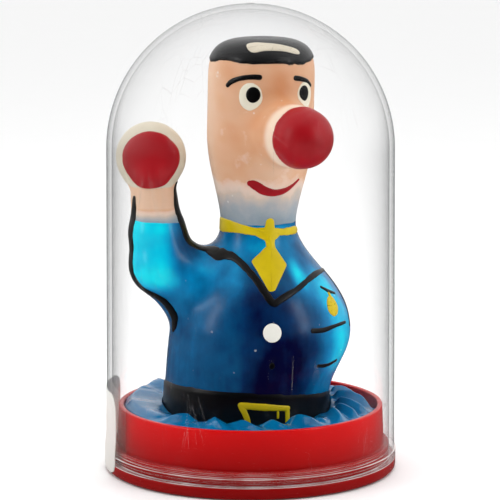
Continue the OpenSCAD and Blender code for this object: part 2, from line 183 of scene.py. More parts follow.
table_mat, t = new_material("white_laminate_table")
grain = add(
    t, "ShaderNodeTexNoise",
    {"Vector": add(t, "ShaderNodeTexCoord").outputs["Object"], "Scale": 60.0, "Detail": 3.0},
)
tone = add(
    t, "ShaderNodeMix", {"Factor": grain.outputs["Fac"], 6: ink("fdfdfd"), 7: ink("ffffff")}, data_type="RGBA"
)
top = add(t, "ShaderNodeBsdfPrincipled", {"Base Color": tone.outputs[2], "Roughness": 0.6})
give(t, top.outputs[0])
table = bpy.data.meshes.new("table")
half = 3.0
table.from_pydata(
    [(-half, -half, -1e-5), (half, -half, -1e-5), (half, half, -1e-5), (-half, half, -1e-5)], [],
    [(0, 1, 2, 3)],
)
table_top = bpy.data.objects.new("table_top", table)
table.materials.append(table_mat)
scene.collection.objects.link(table_top)
table_top.visible_glossy = False

# ---------------------------------------------------------------------------
# Base cup: red polystyrene, injection moulded in one piece. Its red has painted
# shade, lightest at the rim and darker towards the flange at the bottom, and the floor is plain.
# ---------------------------------------------------------------------------


def start_tree(name, inputs):
    """New Geometry Nodes tree with a mesh going in and out, and more inputs by name and kind."""
    tree = bpy.data.node_groups.new(name, "GeometryNodeTree")
    for label, kind in [("Geometry", "Geometry")] + inputs:
        tree.interface.new_socket(label, in_out="INPUT", socket_type="NodeSocket" + kind)
    tree.interface.new_socket("Geometry", in_out="OUTPUT", socket_type="NodeSocketGeometry")
    return tree, add(tree, "NodeGroupInput")


def end_tree(tree, shape, mat):
    """Smooth shading, real geometry and the material, then the tree's output."""
    smooth = add(tree, "GeometryNodeSetShadeSmooth", {"Geometry": shape})
    real = add(tree, "GeometryNodeRealizeInstances", {"Geometry": smooth.outputs[0]})
    coated = add(tree, "GeometryNodeSetMaterial", {"Geometry": real.outputs[0], "Material": mat})
    add(tree, "NodeGroupOutput", {"Geometry": coated.outputs[0]})
    return tree


def revolve_tree():
    """Geometry Nodes: turns the input polyline of radii and heights round +Z."""
    tree, given = start_tree(
        "revolve", [("Segments", "Int"), ("Seam radius", "Float"), ("Material", "Material")]
    )
    shift = add(tree, "ShaderNodeCombineXYZ", {"X": given.outputs["Seam radius"]})
    back = add(tree, "ShaderNodeVectorMath", {0: (0, 0, 0), 1: shift.outputs[0]}, operation="SUBTRACT")
    moved = add(
        tree, "GeometryNodeSetPosition", {"Geometry": given.outputs["Geometry"], "Offset": back.outputs[0]}
    )
    outline = add(tree, "GeometryNodeMeshToCurve", {"Mesh": moved.outputs[0]})
    ring = add(
        tree, "GeometryNodeCurvePrimitiveCircle",
        {"Resolution": given.outputs["Segments"], "Radius": given.outputs["Seam radius"]},
    )
    level = add(tree, "GeometryNodeSetCurveNormal", {"Curve": ring.outputs["Curve"]}, mode="Z_UP")
    swept = add(
        tree, "GeometryNodeCurveToMesh", {"Curve": level.outputs[0], "Profile Curve": outline.outputs[0]}
    )
    joined = add(tree, "GeometryNodeMergeByDistance", {"Geometry": swept.outputs[0], "Distance": 2e-6})
    return end_tree(tree, joined.outputs[0], given.outputs["Material"])


def bake_nodes(name, source, tree, values):
    """Runs a node tree on a mesh and keeps the result as a plain object."""
    holder = bpy.data.objects.new(name + "_source", source)
    scene.collection.objects.link(holder)
    mod = holder.modifiers.new("nodes", "NODES")
    mod.node_group = tree
    for item in tree.interface.items_tree:
        if item.in_out == "INPUT" and item.name in values:
            mod[item.identifier] = values[item.name]
    bpy.context.view_layer.update()
    graph = bpy.context.evaluated_depsgraph_get()
    mesh = bpy.data.meshes.new_from_object(
        holder.evaluated_get(graph), preserve_all_data_layers=True, depsgraph=graph
    )
    bpy.data.objects.remove(holder)
    return put(name, mesh)


def put(name, mesh):
    """Makes a mesh an object of the scene under one name."""
    mesh.name = name
    piece = bpy.data.objects.new(name, mesh)
    scene.collection.objects.link(piece)
    return piece


def face_out(piece):
    """Merges doubles and turns every face outwards."""
    b = bmesh.new()
    b.from_mesh(piece.data)
    bmesh.ops.remove_doubles(b, verts=b.verts, dist=1e-6)
    bmesh.ops.dissolve_degenerate(b, edges=b.edges, dist=1e-7)
    bmesh.ops.recalc_face_normals(b, faces=b.faces)
    b.to_mesh(piece.data)
    b.free()
    piece.data.update()


def rounded(points, radii, steps=7):
    """Outline through the points with each corner rounded to its radius."""
    line = []
    last = len(points) - 1
    for i, (p, r) in enumerate(zip(points, radii)):
        p = np.array(p, float)
        if r <= 0 or i in (0, last):
            line.append(p)
            continue
        a = np.array(points[i - 1], float) - p
        c = np.array(points[i + 1], float) - p
        ua, uc = a / np.linalg.norm(a), c / np.linalg.norm(c)
        half_angle = math.acos(max(-1, min(1, float(ua @ uc)))) / 2
        cut = min(r / math.tan(half_angle), 0.49 * np.linalg.norm(a), 0.49 * np.linalg.norm(c))
        start, end = p + ua * cut, p + uc * cut
        for k in range(steps + 1):
            f = k / steps
            line.append((1 - f) ** 2 * start + 2 * f * (1 - f) * p + f**2 * end)
    return line


def polyline(name, line):
    """Edges through outline points in millimetres; the sweep turns them upside down."""
    mesh = bpy.data.meshes.new(name)
    mesh.from_pydata([(x * MM, -y * MM, 0) for x, y in line], [(i, i + 1) for i in range(len(line) - 1)], [])
    return mesh


def even_shade(piece):
    """Lets the large faces set the shading beside small rounded corners."""
    mod = piece.modifiers.new("weighted", "WEIGHTED_NORMAL")
    mod.keep_sharp = False
    mod.weight = 80


cup_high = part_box("base_cup")[1]
flange_r = cup_high[0] / MM
rim_z = cup_high[2] / MM
dome_low, dome_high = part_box("clear_dome")
flange_z = dome_low[2] / MM
bore_r = 26.3
land_r = bore_r - 0.05
land_z = flange_z + 2.6
cup_r = bore_r - 1.0
rim_lean = 0.35
cup_wall = 0.95
well_r = cup_r - cup_wall - rim_lean
floor_under, floor_z = 1.0, 2.0
foot_in = flange_r - 3.2
cup_outline = rounded(
    [
        (0, floor_under), (foot_in, floor_under), (foot_in, 0), (flange_r, 0), (flange_r, flange_z),
        (land_r, flange_z), (land_r, land_z), (cup_r, land_z), (cup_r - rim_lean, rim_z),
        (cup_r - rim_lean - cup_wall, rim_z), (well_r, floor_z), (0, floor_z),
    ],
    [0, 0.3, 0.25, 1.5, 0.18, 0.06, 0.22, 0.15, 0.3, 0.3, 0.5, 0],
)
revolve = revolve_tree()
round_steps = 192
seam_r = 20 * MM

red_ps, t = new_material("red_polystyrene_glossy")
# moulded polystyrene: saturated, slightly see-through at thin edges, fine rub marks
coord = add(t, "ShaderNodeTexCoord").outputs["Object"]
cloud = add(t, "ShaderNodeTexNoise", {"Vector": coord, "Scale": 55.0, "Detail": 4.0, "Roughness": 0.6})
fresh = add(
    t, "ShaderNodeMix", {"Factor": cloud.outputs["Fac"], 6: ink("cc0006"), 7: ink("e40c0a")}, data_type="RGBA"
)
# painted shade: the red is darker towards the bottom, where the flange faces down, and full at the rim
height = add(t, "ShaderNodeSeparateXYZ", {0: coord}).outputs["Z"]
thickness = fill_ramp(
    add(
        t, "ShaderNodeValToRGB",
        {"Fac": add(t, "ShaderNodeMapRange", {"Value": height, "From Max": rim_z * MM}).outputs[0]},
    ),
    [
        (0.0, ink("a0a0a0")), (0.18, ink("b0b0b0")), (0.32, ink("c4c4c4")), (0.55, ink("d4d4d4")),
        (0.8, ink("f0f0f0")), (1.0, ink("ffffff")),
    ],
)
red_with_painted_shade = add(
    t, "ShaderNodeMix", {"Factor": 1.0, 6: fresh.outputs[2], 7: thickness}, data_type="RGBA",
    blend_type="MULTIPLY",
)
stretch = add(t, "ShaderNodeMapping", {"Vector": coord, "Scale": (1.0, 1.0, 6.0)})
rub = add(t, "ShaderNodeTexNoise", {"Vector": stretch.outputs[0], "Scale": 900.0, "Detail": 2.0})
rub_rough = add(t, "ShaderNodeMapRange", {"Value": rub.outputs["Fac"], "To Min": 0.16, "To Max": 0.32})
rub_bump = add(t, "ShaderNodeBump", {"Height": rub.outputs["Fac"], "Strength": 0.05, "Distance": 0.0001})
plastic = add(
    t, "ShaderNodeBsdfPrincipled",
    {
        "Base Color": red_with_painted_shade.outputs[2], "Roughness": rub_rough.outputs[0], "IOR": 1.59,
        "Specular IOR Level": 0.2,
        "Subsurface Weight": 0.3, "Subsurface Radius": (1.0, 0.08, 0.05), "Subsurface Scale": 0.0015,
        "Normal": rub_bump.outputs[0],
    },
)
give(t, plastic.outputs[0])

cup = bake_nodes(
    "cup_moulding", polyline("cup_outline", cup_outline), revolve,
    {"Segments": round_steps, "Seam radius": seam_r, "Material": red_ps},
)
face_out(cup)
even_shade(cup)
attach(cup, "base")
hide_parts("base_cup")

# ---------------------------------------------------------------------------
# Clear dome: crystal polystyrene, one moulding with a thicker foot band and
# the stub of the gate on its crown. It is handled and stored, so it is scuffed.
# ---------------------------------------------------------------------------

wall = 1.0
band = 0.22
band_z = flange_z + 1.7
gate_h = 0.12
crown_z = dome_high[2] / MM - gate_h
draft = math.tan(math.radians(0.4))
ball_r = (bore_r + wall - (crown_z - flange_z) * draft) / (1 - draft)
ball_z = crown_z - ball_r


def arc(radius, centre_z, first, last, steps):
    """Points of a quarter circle in the outline plane, by angle from level."""
    return [
        (radius * math.cos(a), centre_z + radius * math.sin(a))
        for a in np.radians(np.linspace(first, last, steps))
    ]


gate_r, gate_z = 0.9, crown_z + gate_h
gate_foot = math.degrees(math.acos(gate_r / ball_r))
dome_outline = rounded(
    [(0, gate_z), (gate_r * 0.96, gate_z)] + arc(ball_r, ball_z, gate_foot, 0, 70)
    + [
        (bore_r + wall - draft * (band_z - flange_z), band_z + 0.02), (bore_r + wall + band, band_z),
        (bore_r + wall + band, flange_z + 0.02), (bore_r, flange_z + 0.02), (bore_r, flange_z + 4),
    ]
    + arc(ball_r - wall, ball_z, 0, 90, 70),
    [0, 0.05] + [0] * 70 + [0.06, 0.12, 0.1, 0.12, 0] + [0] * 70,
    5,
)
dome_outline[-1] = np.array([0.0, crown_z - wall])

clear_ps, t = new_material("clear_polystyrene_scuffed")
# crystal polystyrene: see-through face on, with painted shade that greys the wall where
# it is seen edge on, and with a mirror-like skin and hairline scuffs from handling
coord = add(t, "ShaderNodeTexCoord").outputs["Object"]
edge_on = add(t, "ShaderNodeLayerWeight", {"Blend": 0.5})
grazing = add(t, "ShaderNodeMath", {0: edge_on.outputs["Facing"], 1: 10.0}, operation="POWER")
above_ball = add(t, "ShaderNodeVectorMath", {0: coord, 1: (0, 0, ball_z * MM)}, operation="SUBTRACT")
no_lower = add(t, "ShaderNodeVectorMath", {0: above_ball.outputs[0], 1: (-1, -1, 0)}, operation="MAXIMUM")
from_core = add(t, "ShaderNodeVectorMath", {0: no_lower.outputs[0]}, operation="LENGTH")
is_outer = add(
    t, "ShaderNodeMath", {0: from_core.outputs["Value"], 1: (bore_r + 0.45) * MM}, operation="GREATER_THAN"
)
outer_share = add(t, "ShaderNodeMapRange", {"Value": is_outer.outputs[0], "To Min": 0.12, "To Max": 1.0})
painted_edge_shade = add(t, "ShaderNodeMath", {0: grazing.outputs[0], 1: outer_share.outputs[0]}, operation="MULTIPLY")
# painted shade: the see-through colour turns grey where the wall is seen edge on, mostly on the outer surface
clear_with_painted_edge_shade = add(
    t, "ShaderNodeMix", {"Factor": painted_edge_shade.outputs[0], 6: ink("ffffff"), 7: ink("8f9496")}, data_type="RGBA"
)
clear = add(t, "ShaderNodeBsdfTransparent", {"Color": clear_with_painted_edge_shade.outputs[2]})
long_way = add(
    t, "ShaderNodeMapping", {"Vector": coord, "Scale": (1.0, 1.0, 0.16), "Rotation": (0.25, 0.1, 0)}
)
hairs = add(
    t, "ShaderNodeTexVoronoi", {"Vector": long_way.outputs[0], "Scale": 240.0}, feature="DISTANCE_TO_EDGE"
)
scuff = add(
    t, "ShaderNodeMapRange",
    {"Value": hairs.outputs["Distance"], "From Max": 0.02, "To Min": 1.0, "To Max": 0.0},
)
where = add(t, "ShaderNodeTexNoise", {"Vector": coord, "Scale": 70.0, "Detail": 2.0})
patchy = add(t, "ShaderNodeMapRange", {"Value": where.outputs["Fac"], "From Min": 0.58, "From Max": 0.7})
scuffed = add(t, "ShaderNodeMath", {0: scuff.outputs[0], 1: patchy.outputs[0]}, operation="MULTIPLY")
gloss_rough = add(t, "ShaderNodeMapRange", {"Value": scuffed.outputs[0], "To Min": 0.04, "To Max": 0.4})
gloss = add(t, "ShaderNodeBsdfGlossy", {"Color": ink("ffffff"), "Roughness": gloss_rough.outputs[0]})
glance = add(t, "ShaderNodeMath", {0: edge_on.outputs["Facing"], 1: 3.2}, operation="POWER")
mirror = add(t, "ShaderNodeMapRange", {"Value": glance.outputs[0], "To Min": 0.0, "To Max": 0.5})
more = add(
    t, "ShaderNodeMath", {0: scuffed.outputs[0], 1: 0.02, 2: mirror.outputs[0]}, operation="MULTIPLY_ADD"
)
polished = add(t, "ShaderNodeMixShader", {0: more.outputs[0], 1: clear.outputs[0], 2: gloss.outputs[0]})
# the foot band's two edges and the gate are left frosted by the mould and by wear
height = add(t, "ShaderNodeSeparateXYZ", {0: coord}).outputs["Z"]
frost = None
for edge_z, wide, strength in (
    (flange_z + 0.1, 0.12, 0.8), (flange_z + 0.6, 0.05, 0.4), (band_z - 0.5, 0.05, 0.4), (band_z, 0.09, 0.75),
    (band_z + 0.6, 0.05, 0.5), (band_z + 1.0, 0.04, 0.3), (gate_z, 0.05, 0.3),
):
    off = add(t, "ShaderNodeMath", {0: height, 1: edge_z * MM}, operation="SUBTRACT")
    gap = add(t, "ShaderNodeMath", {0: off.outputs[0]}, operation="ABSOLUTE")
    ring = add(
        t, "ShaderNodeMapRange",
        {"Value": gap.outputs[0], "From Max": wide * MM, "To Min": strength, "To Max": 0.0},
    )
    frost = ring if frost is None else add(
        t, "ShaderNodeMath", {0: frost.outputs[0], 1: ring.outputs[0]}, operation="MAXIMUM"
    )
worn = add(t, "ShaderNodeTexNoise", {"Vector": coord, "Scale": 160.0, "Detail": 4.0})
uneven = add(
    t, "ShaderNodeMapRange",
    {"Value": worn.outputs["Fac"], "From Min": 0.35, "From Max": 0.6, "To Min": 0.35, "To Max": 1.0},
)
rings = add(t, "ShaderNodeMath", {0: frost.outputs[0], 1: uneven.outputs[0]}, operation="MULTIPLY")
scratch = add(t, "ShaderNodeMath", {0: scuffed.outputs[0], 1: 0.07}, operation="MULTIPLY")
frosted = add(t, "ShaderNodeMath", {0: rings.outputs[0], 1: scratch.outputs[0]}, operation="MAXIMUM")
powder = add(t, "ShaderNodeBsdfDiffuse", {"Color": ink("fbf3f1")})
skin_of_dome = add(
    t, "ShaderNodeMixShader", {0: frosted.outputs[0], 1: polished.outputs[0], 2: powder.outputs[0]}
)
give(t, skin_of_dome.outputs[0])

dome = bake_nodes(
    "dome_moulding", polyline("dome_outline", dome_outline), revolve,
    {"Segments": round_steps, "Seam radius": seam_r, "Material": clear_ps},
)
face_out(dome)
even_shade(dome)
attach(dome, "dome")
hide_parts("clear_dome")

# ---------------------------------------------------------------------------
# Price sticker: matt paper, die-cut with round corners and pressed on by hand
# near the dome's foot, so one corner lifts a little. It is left blank.
# ---------------------------------------------------------------------------

sticker_low, sticker_high = (np.array(v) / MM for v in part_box("price_sticker"))
sticker_turn = math.radians(-101)
sticker_w = 22.0
corner_r = 2.4
paper_t = 0.1


def outer_r(z):
    """Radius just outside the dome: on its wall, or straight down past the foot band."""
    knee, flat = band_z + 0.3, band_z + 3.3
    side = bore_r + wall - draft * (max(z, flat) - flange_z)
    return side + (bore_r + wall + band - side) * min(1.0, max(0.0, (flat - z) / (flat - knee)))


def shade_smooth(piece):
    """Rounds the shading of every face."""
    for face in piece.data.polygons:
        face.use_smooth = True


def sticker_sheet():
    """Blank label as one grid of faces, bent round the dome, with a corner that lifts."""
    across, up = 48, 34
    height = sticker_high[2] - sticker_low[2]
    points = []
    for j in range(up + 1):
        v = -height / 2 + height * j / up
        past = max(0.0, abs(v) - (height / 2 - corner_r))
        half_w = sticker_w / 2 - corner_r + math.sqrt(max(corner_r**2 - past**2, 0.0))
        for i in range(across + 1):
            u = half_w * (2 * i / across - 1)
            z = (sticker_low[2] + sticker_high[2]) / 2 + v
            lift = 0.35 * max(0.0, (u - 7.5) / 3.5) ** 2 * max(0.0, (v - 3) / 4.5) ** 2
            r = outer_r(z) + 0.03 + lift + 0.015 * math.sin(1.1 * u) * math.sin(0.9 * v)
            a = sticker_turn + u / (bore_r + wall)
            points.append((r * math.sin(a) * MM, -r * math.cos(a) * MM, z * MM))
    row = across + 1
    quads = [
        (j * row + i, j * row + i + 1, (j + 1) * row + i + 1, (j + 1) * row + i)
        for j in range(up) for i in range(across)
    ]
    mesh = bpy.data.meshes.new("sticker_sheet")
    mesh.from_pydata(points, [], quads)
    return put("sticker_paper_label", mesh)


paper, t = new_material("matt_sticker_paper")
# uncoated label paper: fibres about 0.3 mm long give a soft mottled white
coord = add(t, "ShaderNodeTexCoord").outputs["Object"]
fibre = add(t, "ShaderNodeTexNoise", {"Vector": coord, "Scale": 3000.0, "Detail": 5.0, "Roughness": 0.7})
stain = add(t, "ShaderNodeTexNoise", {"Vector": coord, "Scale": 120.0, "Detail": 2.0})
pulp = add(
    t, "ShaderNodeMix", {"Factor": fibre.outputs["Fac"], 6: ink("f6f5f3"), 7: ink("fefdfc")}, data_type="RGBA"
)
aged = add(
    t, "ShaderNodeMix", {"Factor": stain.outputs["Fac"], 6: pulp.outputs[2], 7: ink("f4f1ea")},
    data_type="RGBA",
)
tooth = add(t, "ShaderNodeBump", {"Height": fibre.outputs["Fac"], "Strength": 0.25, "Distance": 0.00005})
sheet_face = add(
    t, "ShaderNodeBsdfPrincipled",
    {"Base Color": aged.outputs[2], "Roughness": 0.85, "Normal": tooth.outputs[0]},
)
glow = add(t, "ShaderNodeBsdfTranslucent", {"Color": aged.outputs[2]})
thin_paper = add(t, "ShaderNodeMixShader", {0: 0.4, 1: sheet_face.outputs[0], 2: glow.outputs[0]})
give(t, thin_paper.outputs[0])
sticker = sticker_sheet()
sticker.data.materials.append(paper)
thick = sticker.modifiers.new("paper_thickness", "SOLIDIFY")
thick.thickness = paper_t * MM
thick.offset = 1
shade_smooth(sticker)
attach(sticker, "dome")
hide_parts("price_sticker")

# ---------------------------------------------------------------------------
# Rubber figure: one skin of pigmented latex, dipped on a former and stripped
# off, so torso, head, nose, arm and flat hand run into each other smoothly.
# ---------------------------------------------------------------------------

head_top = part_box("head_skin")[1][2] / MM
stand_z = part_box("jacket_skin")[0][2] / MM
neck_z = 46.6
belly_z = 25.0
hip_z = 13.0
full_z = neck_z + 17.4
round_z = head_top - 9.0
head_r, neck_r, belly_r, hip_r = 9.93, 7.05, 17.15, 15.6
hip_x, belly_x, neck_x = -0.8, 1.85, 1.45
crown_x = neck_x + 0.75
torso_depth = 0.94
hand_at = np.array([-18.85, 0.0, 59.4])
hand_r, hand_t = 6.35, 5.2
palm_turn = math.radians(-10)
palm_out = np.array([math.sin(palm_turn), -math.cos(palm_turn), 0.0])
nose_turn = math.radians(12.5)
nose_out = np.array([math.sin(nose_turn), -math.cos(nose_turn), 0.0])
nose_z, nose_reach, nose_r, nose_root_r = 64.1, 18.5, 5.25, 6.7
skin_t = 0.7


def ease(f):
    """Smooth step from 0 to 1."""
    return (1 - np.cos(np.pi * np.clip(f, 0, 1))) / 2


def share(z, a, b):
    """How far z is on the way from a to b, held between 0 and 1."""
    return np.clip((z - a) / (b - a), 0, 1)


def trunk_r(z):
    """Radius of the torso, neck and head at a height."""
    lower = hip_r + (belly_r - hip_r) * ease(share(z, hip_z, belly_z) ** 1.15)
    chest = belly_r - (belly_r - neck_r) * ease(share(z, belly_z, neck_z) ** 1.25)
    jaw = neck_r + (head_r - neck_r) * ease(share(z, neck_z, full_z) ** 0.85)
    crown = head_r * (1 - share(z, round_z, head_top) ** 4) ** 0.3125
    return np.where(z < belly_z, lower, np.where(z < neck_z, chest, np.where(z < full_z, jaw, crown)))


def trunk_x(z):
    """Sideways place of the trunk's axis, which leans towards the head."""
    low = hip_x + (belly_x - hip_x) * ease(share(z, hip_z, belly_z + 2))
    mid = belly_x + (neck_x - belly_x) * ease(share(z, belly_z + 2, neck_z))
    high = neck_x + (crown_x - neck_x) * share(z, neck_z, head_top)
    return np.where(z < belly_z + 2, low, np.where(z < neck_z, mid, high))


def trunk_depth(z):
    """Front-to-back share of the trunk's width: the torso is a little flat."""
    return torso_depth + (1 - torso_depth) * share(z, 30, neck_z)


def melt(a, b, k):
    """Smooth union of two distances, with a fillet of about k."""
    h = np.clip(0.5 + 0.5 * (b - a) / k, 0, 1)
    return b + (a - b) * h - k * h * (1 - h)


def cone_distance(p, a, b, ra, rb):
    """Distance from a limb whose radius goes evenly from ra at a to rb at b."""
    along = b - a
    f = np.clip((p - a) @ along / (along @ along), 0, 1)
    return np.linalg.norm(p - a - f[..., None] * along, axis=-1) - (ra + (rb - ra) * f)


arm_line = np.array(
    [
        [-6.0, 0, 33.5, 7.2], [-11.65, 0, 35.6, 6.7], [-16.65, 0, 39.4, 6.1], [-17.75, 0, 45.5, 5.05],
        [-18.25, 0, 50.6, 3.95], [-18.85, 0, 55.5, 4.1],
    ]
)


def figure_distance(p):
    """Signed distance in millimetres from the outside of the rubber skin."""
    x, y, z = p[..., 0], p[..., 1], p[..., 2]
    zc = np.clip(z, -5, head_top - 0.02)
    slope = (trunk_r(zc + 0.05) - trunk_r(zc - 0.05)) / 0.1
    slope = np.clip(slope, -3, 3)
    trunk = (np.hypot(x - trunk_x(zc), y / trunk_depth(zc)) - trunk_r(zc)) / np.sqrt(1 + slope**2)
    trunk = np.maximum(trunk, z - head_top)
    arm = None
    for i in range(len(arm_line) - 1):
        a, b = arm_line[i], arm_line[i + 1]
        piece = cone_distance(p, a[:3], b[:3], a[3], b[3])
        arm = piece if arm is None else melt(arm, piece, 1.6)
    local = p - hand_at
    axial = local @ palm_out
    radial = np.sqrt(np.maximum((local**2).sum(-1) - axial**2, 0))
    edge = hand_t / 2 * (1.1 - 0.18 * np.clip(radial / hand_r, 0, 1) ** 2)
    hand = np.hypot(np.maximum(radial - (hand_r - edge), 0), axial) - edge
    arm = melt(arm, hand, 1.6)
    axis = np.array([float(trunk_x(np.array(nose_z))), 0, nose_z])
    root, ledge = axis + nose_out * (head_r - 5.5), axis + nose_out * (nose_reach - 2.2)
    tip = axis + nose_out * nose_reach
    cone = cone_distance(p, root, ledge, nose_root_r, nose_r + 0.35)
    ball = np.linalg.norm(p - tip, axis=-1) - nose_r
    nose = melt(cone, ball, 0.35)
    return melt(melt(trunk, arm, 3.4), nose, 2.0)


def gradient(p, step=0.02):
    """Direction in which the distance from the skin grows fastest."""
    g = np.empty_like(p)
    for k in range(3):
        d = np.zeros(3)
        d[k] = step
        g[:, k] = (figure_distance(p + d) - figure_distance(p - d)) / (2 * step)
    return g


def settle(p, rounds=4):
    """Moves points on to the skin's surface and gives the normals there."""
    for _ in range(rounds):
        g = gradient(p)
        p = p - figure_distance(p)[:, None] * g / np.maximum((g**2).sum(1), 0.05)[:, None]
    g = gradient(p)
    return p, g / np.linalg.norm(g, axis=1)[:, None]


def surface_net(value, origin, step):
    """Quads on the zero surface of a grid, one vertex in each crossed cell."""
    inside = value < 0
    n = np.array(value.shape) - 1
    count = sum(
        inside[i : n[0] + i, j : n[1] + j, k : n[2] + k].astype(np.int8)
        for i in (0, 1) for j in (0, 1) for k in (0, 1)
    )
    cells = np.argwhere((count > 0) & (count < 8))
    index = -np.ones(n, int)
    index[tuple(cells.T)] = np.arange(len(cells))
    total, hits = np.zeros((len(cells), 3)), np.zeros(len(cells))
    for axis in range(3):
        others = [k for k in range(3) if k != axis]
        for s in (0, 1):
            for q in (0, 1):
                a = np.zeros(3, int)
                a[others[0]], a[others[1]] = s, q
                b = a.copy()
                b[axis] = 1
                va, vb = value[tuple((cells + a).T)], value[tuple((cells + b).T)]
                cut = (va < 0) != (vb < 0)
                f = va[cut] / (va[cut] - vb[cut])
                total[cut] += a + f[:, None] * (b - a)
                hits[cut] += 1
    points = origin + step * (cells + total / hits[:, None])
    quads = []
    for axis in range(3):
        u, v = [(1, 2), (2, 0), (0, 1)][axis]
        first = [slice(None)] * 3
        second = [slice(None)] * 3
        first[axis], second[axis] = slice(0, -1), slice(1, None)
        a, b = inside[tuple(first)], inside[tuple(second)]
        g = np.argwhere(a != b)
        g = g[(g[:, u] > 0) & (g[:, v] > 0) & (g[:, u] < n[u]) & (g[:, v] < n[v])]
        eu, ev = np.eye(3, dtype=int)[u], np.eye(3, dtype=int)[v]
        ring = [index[tuple((g - s).T)] for s in (0 * eu, eu, eu + ev, ev)]
        quad = np.stack(ring, 1)
        out = a[tuple(g.T)]
        quad[out] = quad[out][:, ::-1]
        quads.append(quad[(quad >= 0).all(1)])
    return points, np.concatenate(quads)[:, ::-1]


grid_step = 0.5
grid_low = np.array([-27.0, -26.0, stand_z])
grid_n = np.ceil((np.array([21.0, 18.5, head_top + 1.5]) - grid_low) / grid_step).astype(int)
axes = [grid_low[k] + grid_step * np.arange(grid_n[k]) for k in range(3)]
field = np.empty([len(a) for a in axes])
for k, layer in enumerate(axes[2]):
    gx, gy = np.meshgrid(axes[0], axes[1], indexing="ij")
    field[:, :, k] = figure_distance(np.stack([gx, gy, np.full_like(gx, layer)], -1))
net, quads = surface_net(field, grid_low, grid_step)
net = settle(net)[0]
net[:, 2] = np.minimum(net[:, 2], head_top)
net[net[:, 2] < stand_z + 0.9 * grid_step, 2] = stand_z
skin_mesh = bpy.data.meshes.new("skin")
skin_mesh.from_pydata((net * MM).tolist(), [], quads.tolist())
skin = put("latex_figure_skin", skin_mesh)
face_out(skin)
shade_smooth(skin)
skin_points = np.empty(3 * len(skin.data.vertices))
skin.data.vertices.foreach_get("co", skin_points)
skin_points = skin_points.reshape(-1, 3) / MM


def turn_of(p):
    """Degrees round the trunk's axis from the chest, towards +X."""
    return np.degrees(np.arctan2(p[:, 0] - trunk_x(p[:, 2]), -p[:, 1]))


def bump_at(p, turn, z, wide, tall):
    """Soft spot of 1 at a turn and a height on the trunk."""
    return np.exp(-(((turn_of(p) - turn) / wide) ** 2) - ((p[:, 2] - z) / tall) ** 2)


def store(mesh, name, values):
    """Keeps one number for each vertex, for a material or a node tree to read."""
    layer = mesh.attributes.new(name, "FLOAT", "POINT")
    layer.data.foreach_set("value", np.asarray(values, float))


def waves(p, scale, seed, layers=3):
    """Smooth noise between about -1 and 1 from a few turned sine waves."""
    draw = np.random.default_rng(seed)
    total = np.zeros(len(p))
    for k in range(layers * 4):
        d = draw.normal(size=3)
        d *= (1.6 ** (k % layers)) * 2 * np.pi / scale / np.linalg.norm(d)
        total += np.sin(p @ d + draw.uniform(0, 6.28)) / 1.6 ** (k % layers)
    return total / (layers * 1.7)


p = skin_points
on_arm = ease(share(-p[:, 0], 9.5, 12.5)) * ease(share(p[:, 2], 38, 43))
cuff = 47.6 - 0.06 * (p[:, 0] + 18) + 0.12 * waves(p, 4, 3)
neck_line = 46.85 + 0.25 * waves(p, 9, 4) + 0.02 * p[:, 0]
hem = cuff * on_arm + neck_line * (1 - on_arm)
store(skin.data, "above_hem", p[:, 2] - hem)
grey = np.where(on_arm > 0.5, 1 - share(p[:, 2], 47.6, 50.2), 1 - share(p[:, 2], 47.5, 56.5))
store(skin.data, "grey_fade", np.clip(grey + 0.10 * waves(p, 7, 5), 0, 1))
head_only = share(p[:, 2], 50, 54)
warm_spray = (
    0.75 * bump_at(p, 8, head_top - 8.5, 15, 3.6) + 0.5 * bump_at(p, -13, 66, 12, 5)
    + 0.35 * bump_at(p, -38, 60, 18, 6)
)
warm_spray += 0.35 * bump_at(p, -45, head_top - 6, 16, 3) + 0.2 * waves(p, 6, 8)
store(skin.data, "warm_spray", np.clip(warm_spray * head_only, 0, 1))
nose_ahead = (p - np.array([float(trunk_x(np.array(nose_z))), 0, nose_z])) @ nose_out
pale_spray = (
    0.95 * ease(share(nose_ahead, 13.2, 15.6)) + 0.4 * ease(share(np.abs(turn_of(p) - 10), 62, 95))
    + 0.3 * bump_at(p, 12, 57, 30, 3)
)
store(
    skin.data, "pale_spray", np.clip(pale_spray * np.where(p[:, 2] > 50, 1, 0) + 0.08 * waves(p, 5, 9), 0, 1)
)
# the jacket's light and dark patches are partly uneven blue spray and partly painted light and shade: painted
# highlights and sheen on the sleeve, the right belly and the right chest, painted shade down the front and
# under the arm
painted_light_and_spray = 0.37 + 0.05 * waves(p, 14, 6) + 0.05 * waves(p, 5, 10)
painted_light_and_spray += 0.5 * bump_at(p, 56, 26, 20, 9) + 0.36 * bump_at(p, 48, 35.5, 16, 3)
painted_light_and_spray += 0.62 * bump_at(p, 27, 38.2, 8, 2.4) + 0.24 * bump_at(p, -34, 37.5, 10, 3.2)
painted_light_and_spray += 0.3 * bump_at(p, -8, 43.2, 46, 3.2) + 0.2 * bump_at(p, 15, 46.4, 60, 0.6)
painted_light_and_spray += (
    0.6 * ease(share(-p[:, 0], 13.5, 18.5)) * ease(share(p[:, 2], 33, 38)) + 0.24 * bump_at(p, -62, 38, 18, 6)
)
painted_light_and_spray -= 0.50 * bump_at(p, 8, 19, 22, 8) + 0.2 * bump_at(p, -6, 29, 26, 8) + 0.2 * bump_at(p, -14, 33.5, 12, 4)
painted_light_and_spray -= 0.22 * ease(share(-p[:, 0], 9, 13)) * bump_at(p, -72, 42, 14, 4)
store(skin.data, "jacket_painted_light_and_spray", np.clip(painted_light_and_spray, 0, 1))

latex, t = new_material("dipped_latex_two_colours")
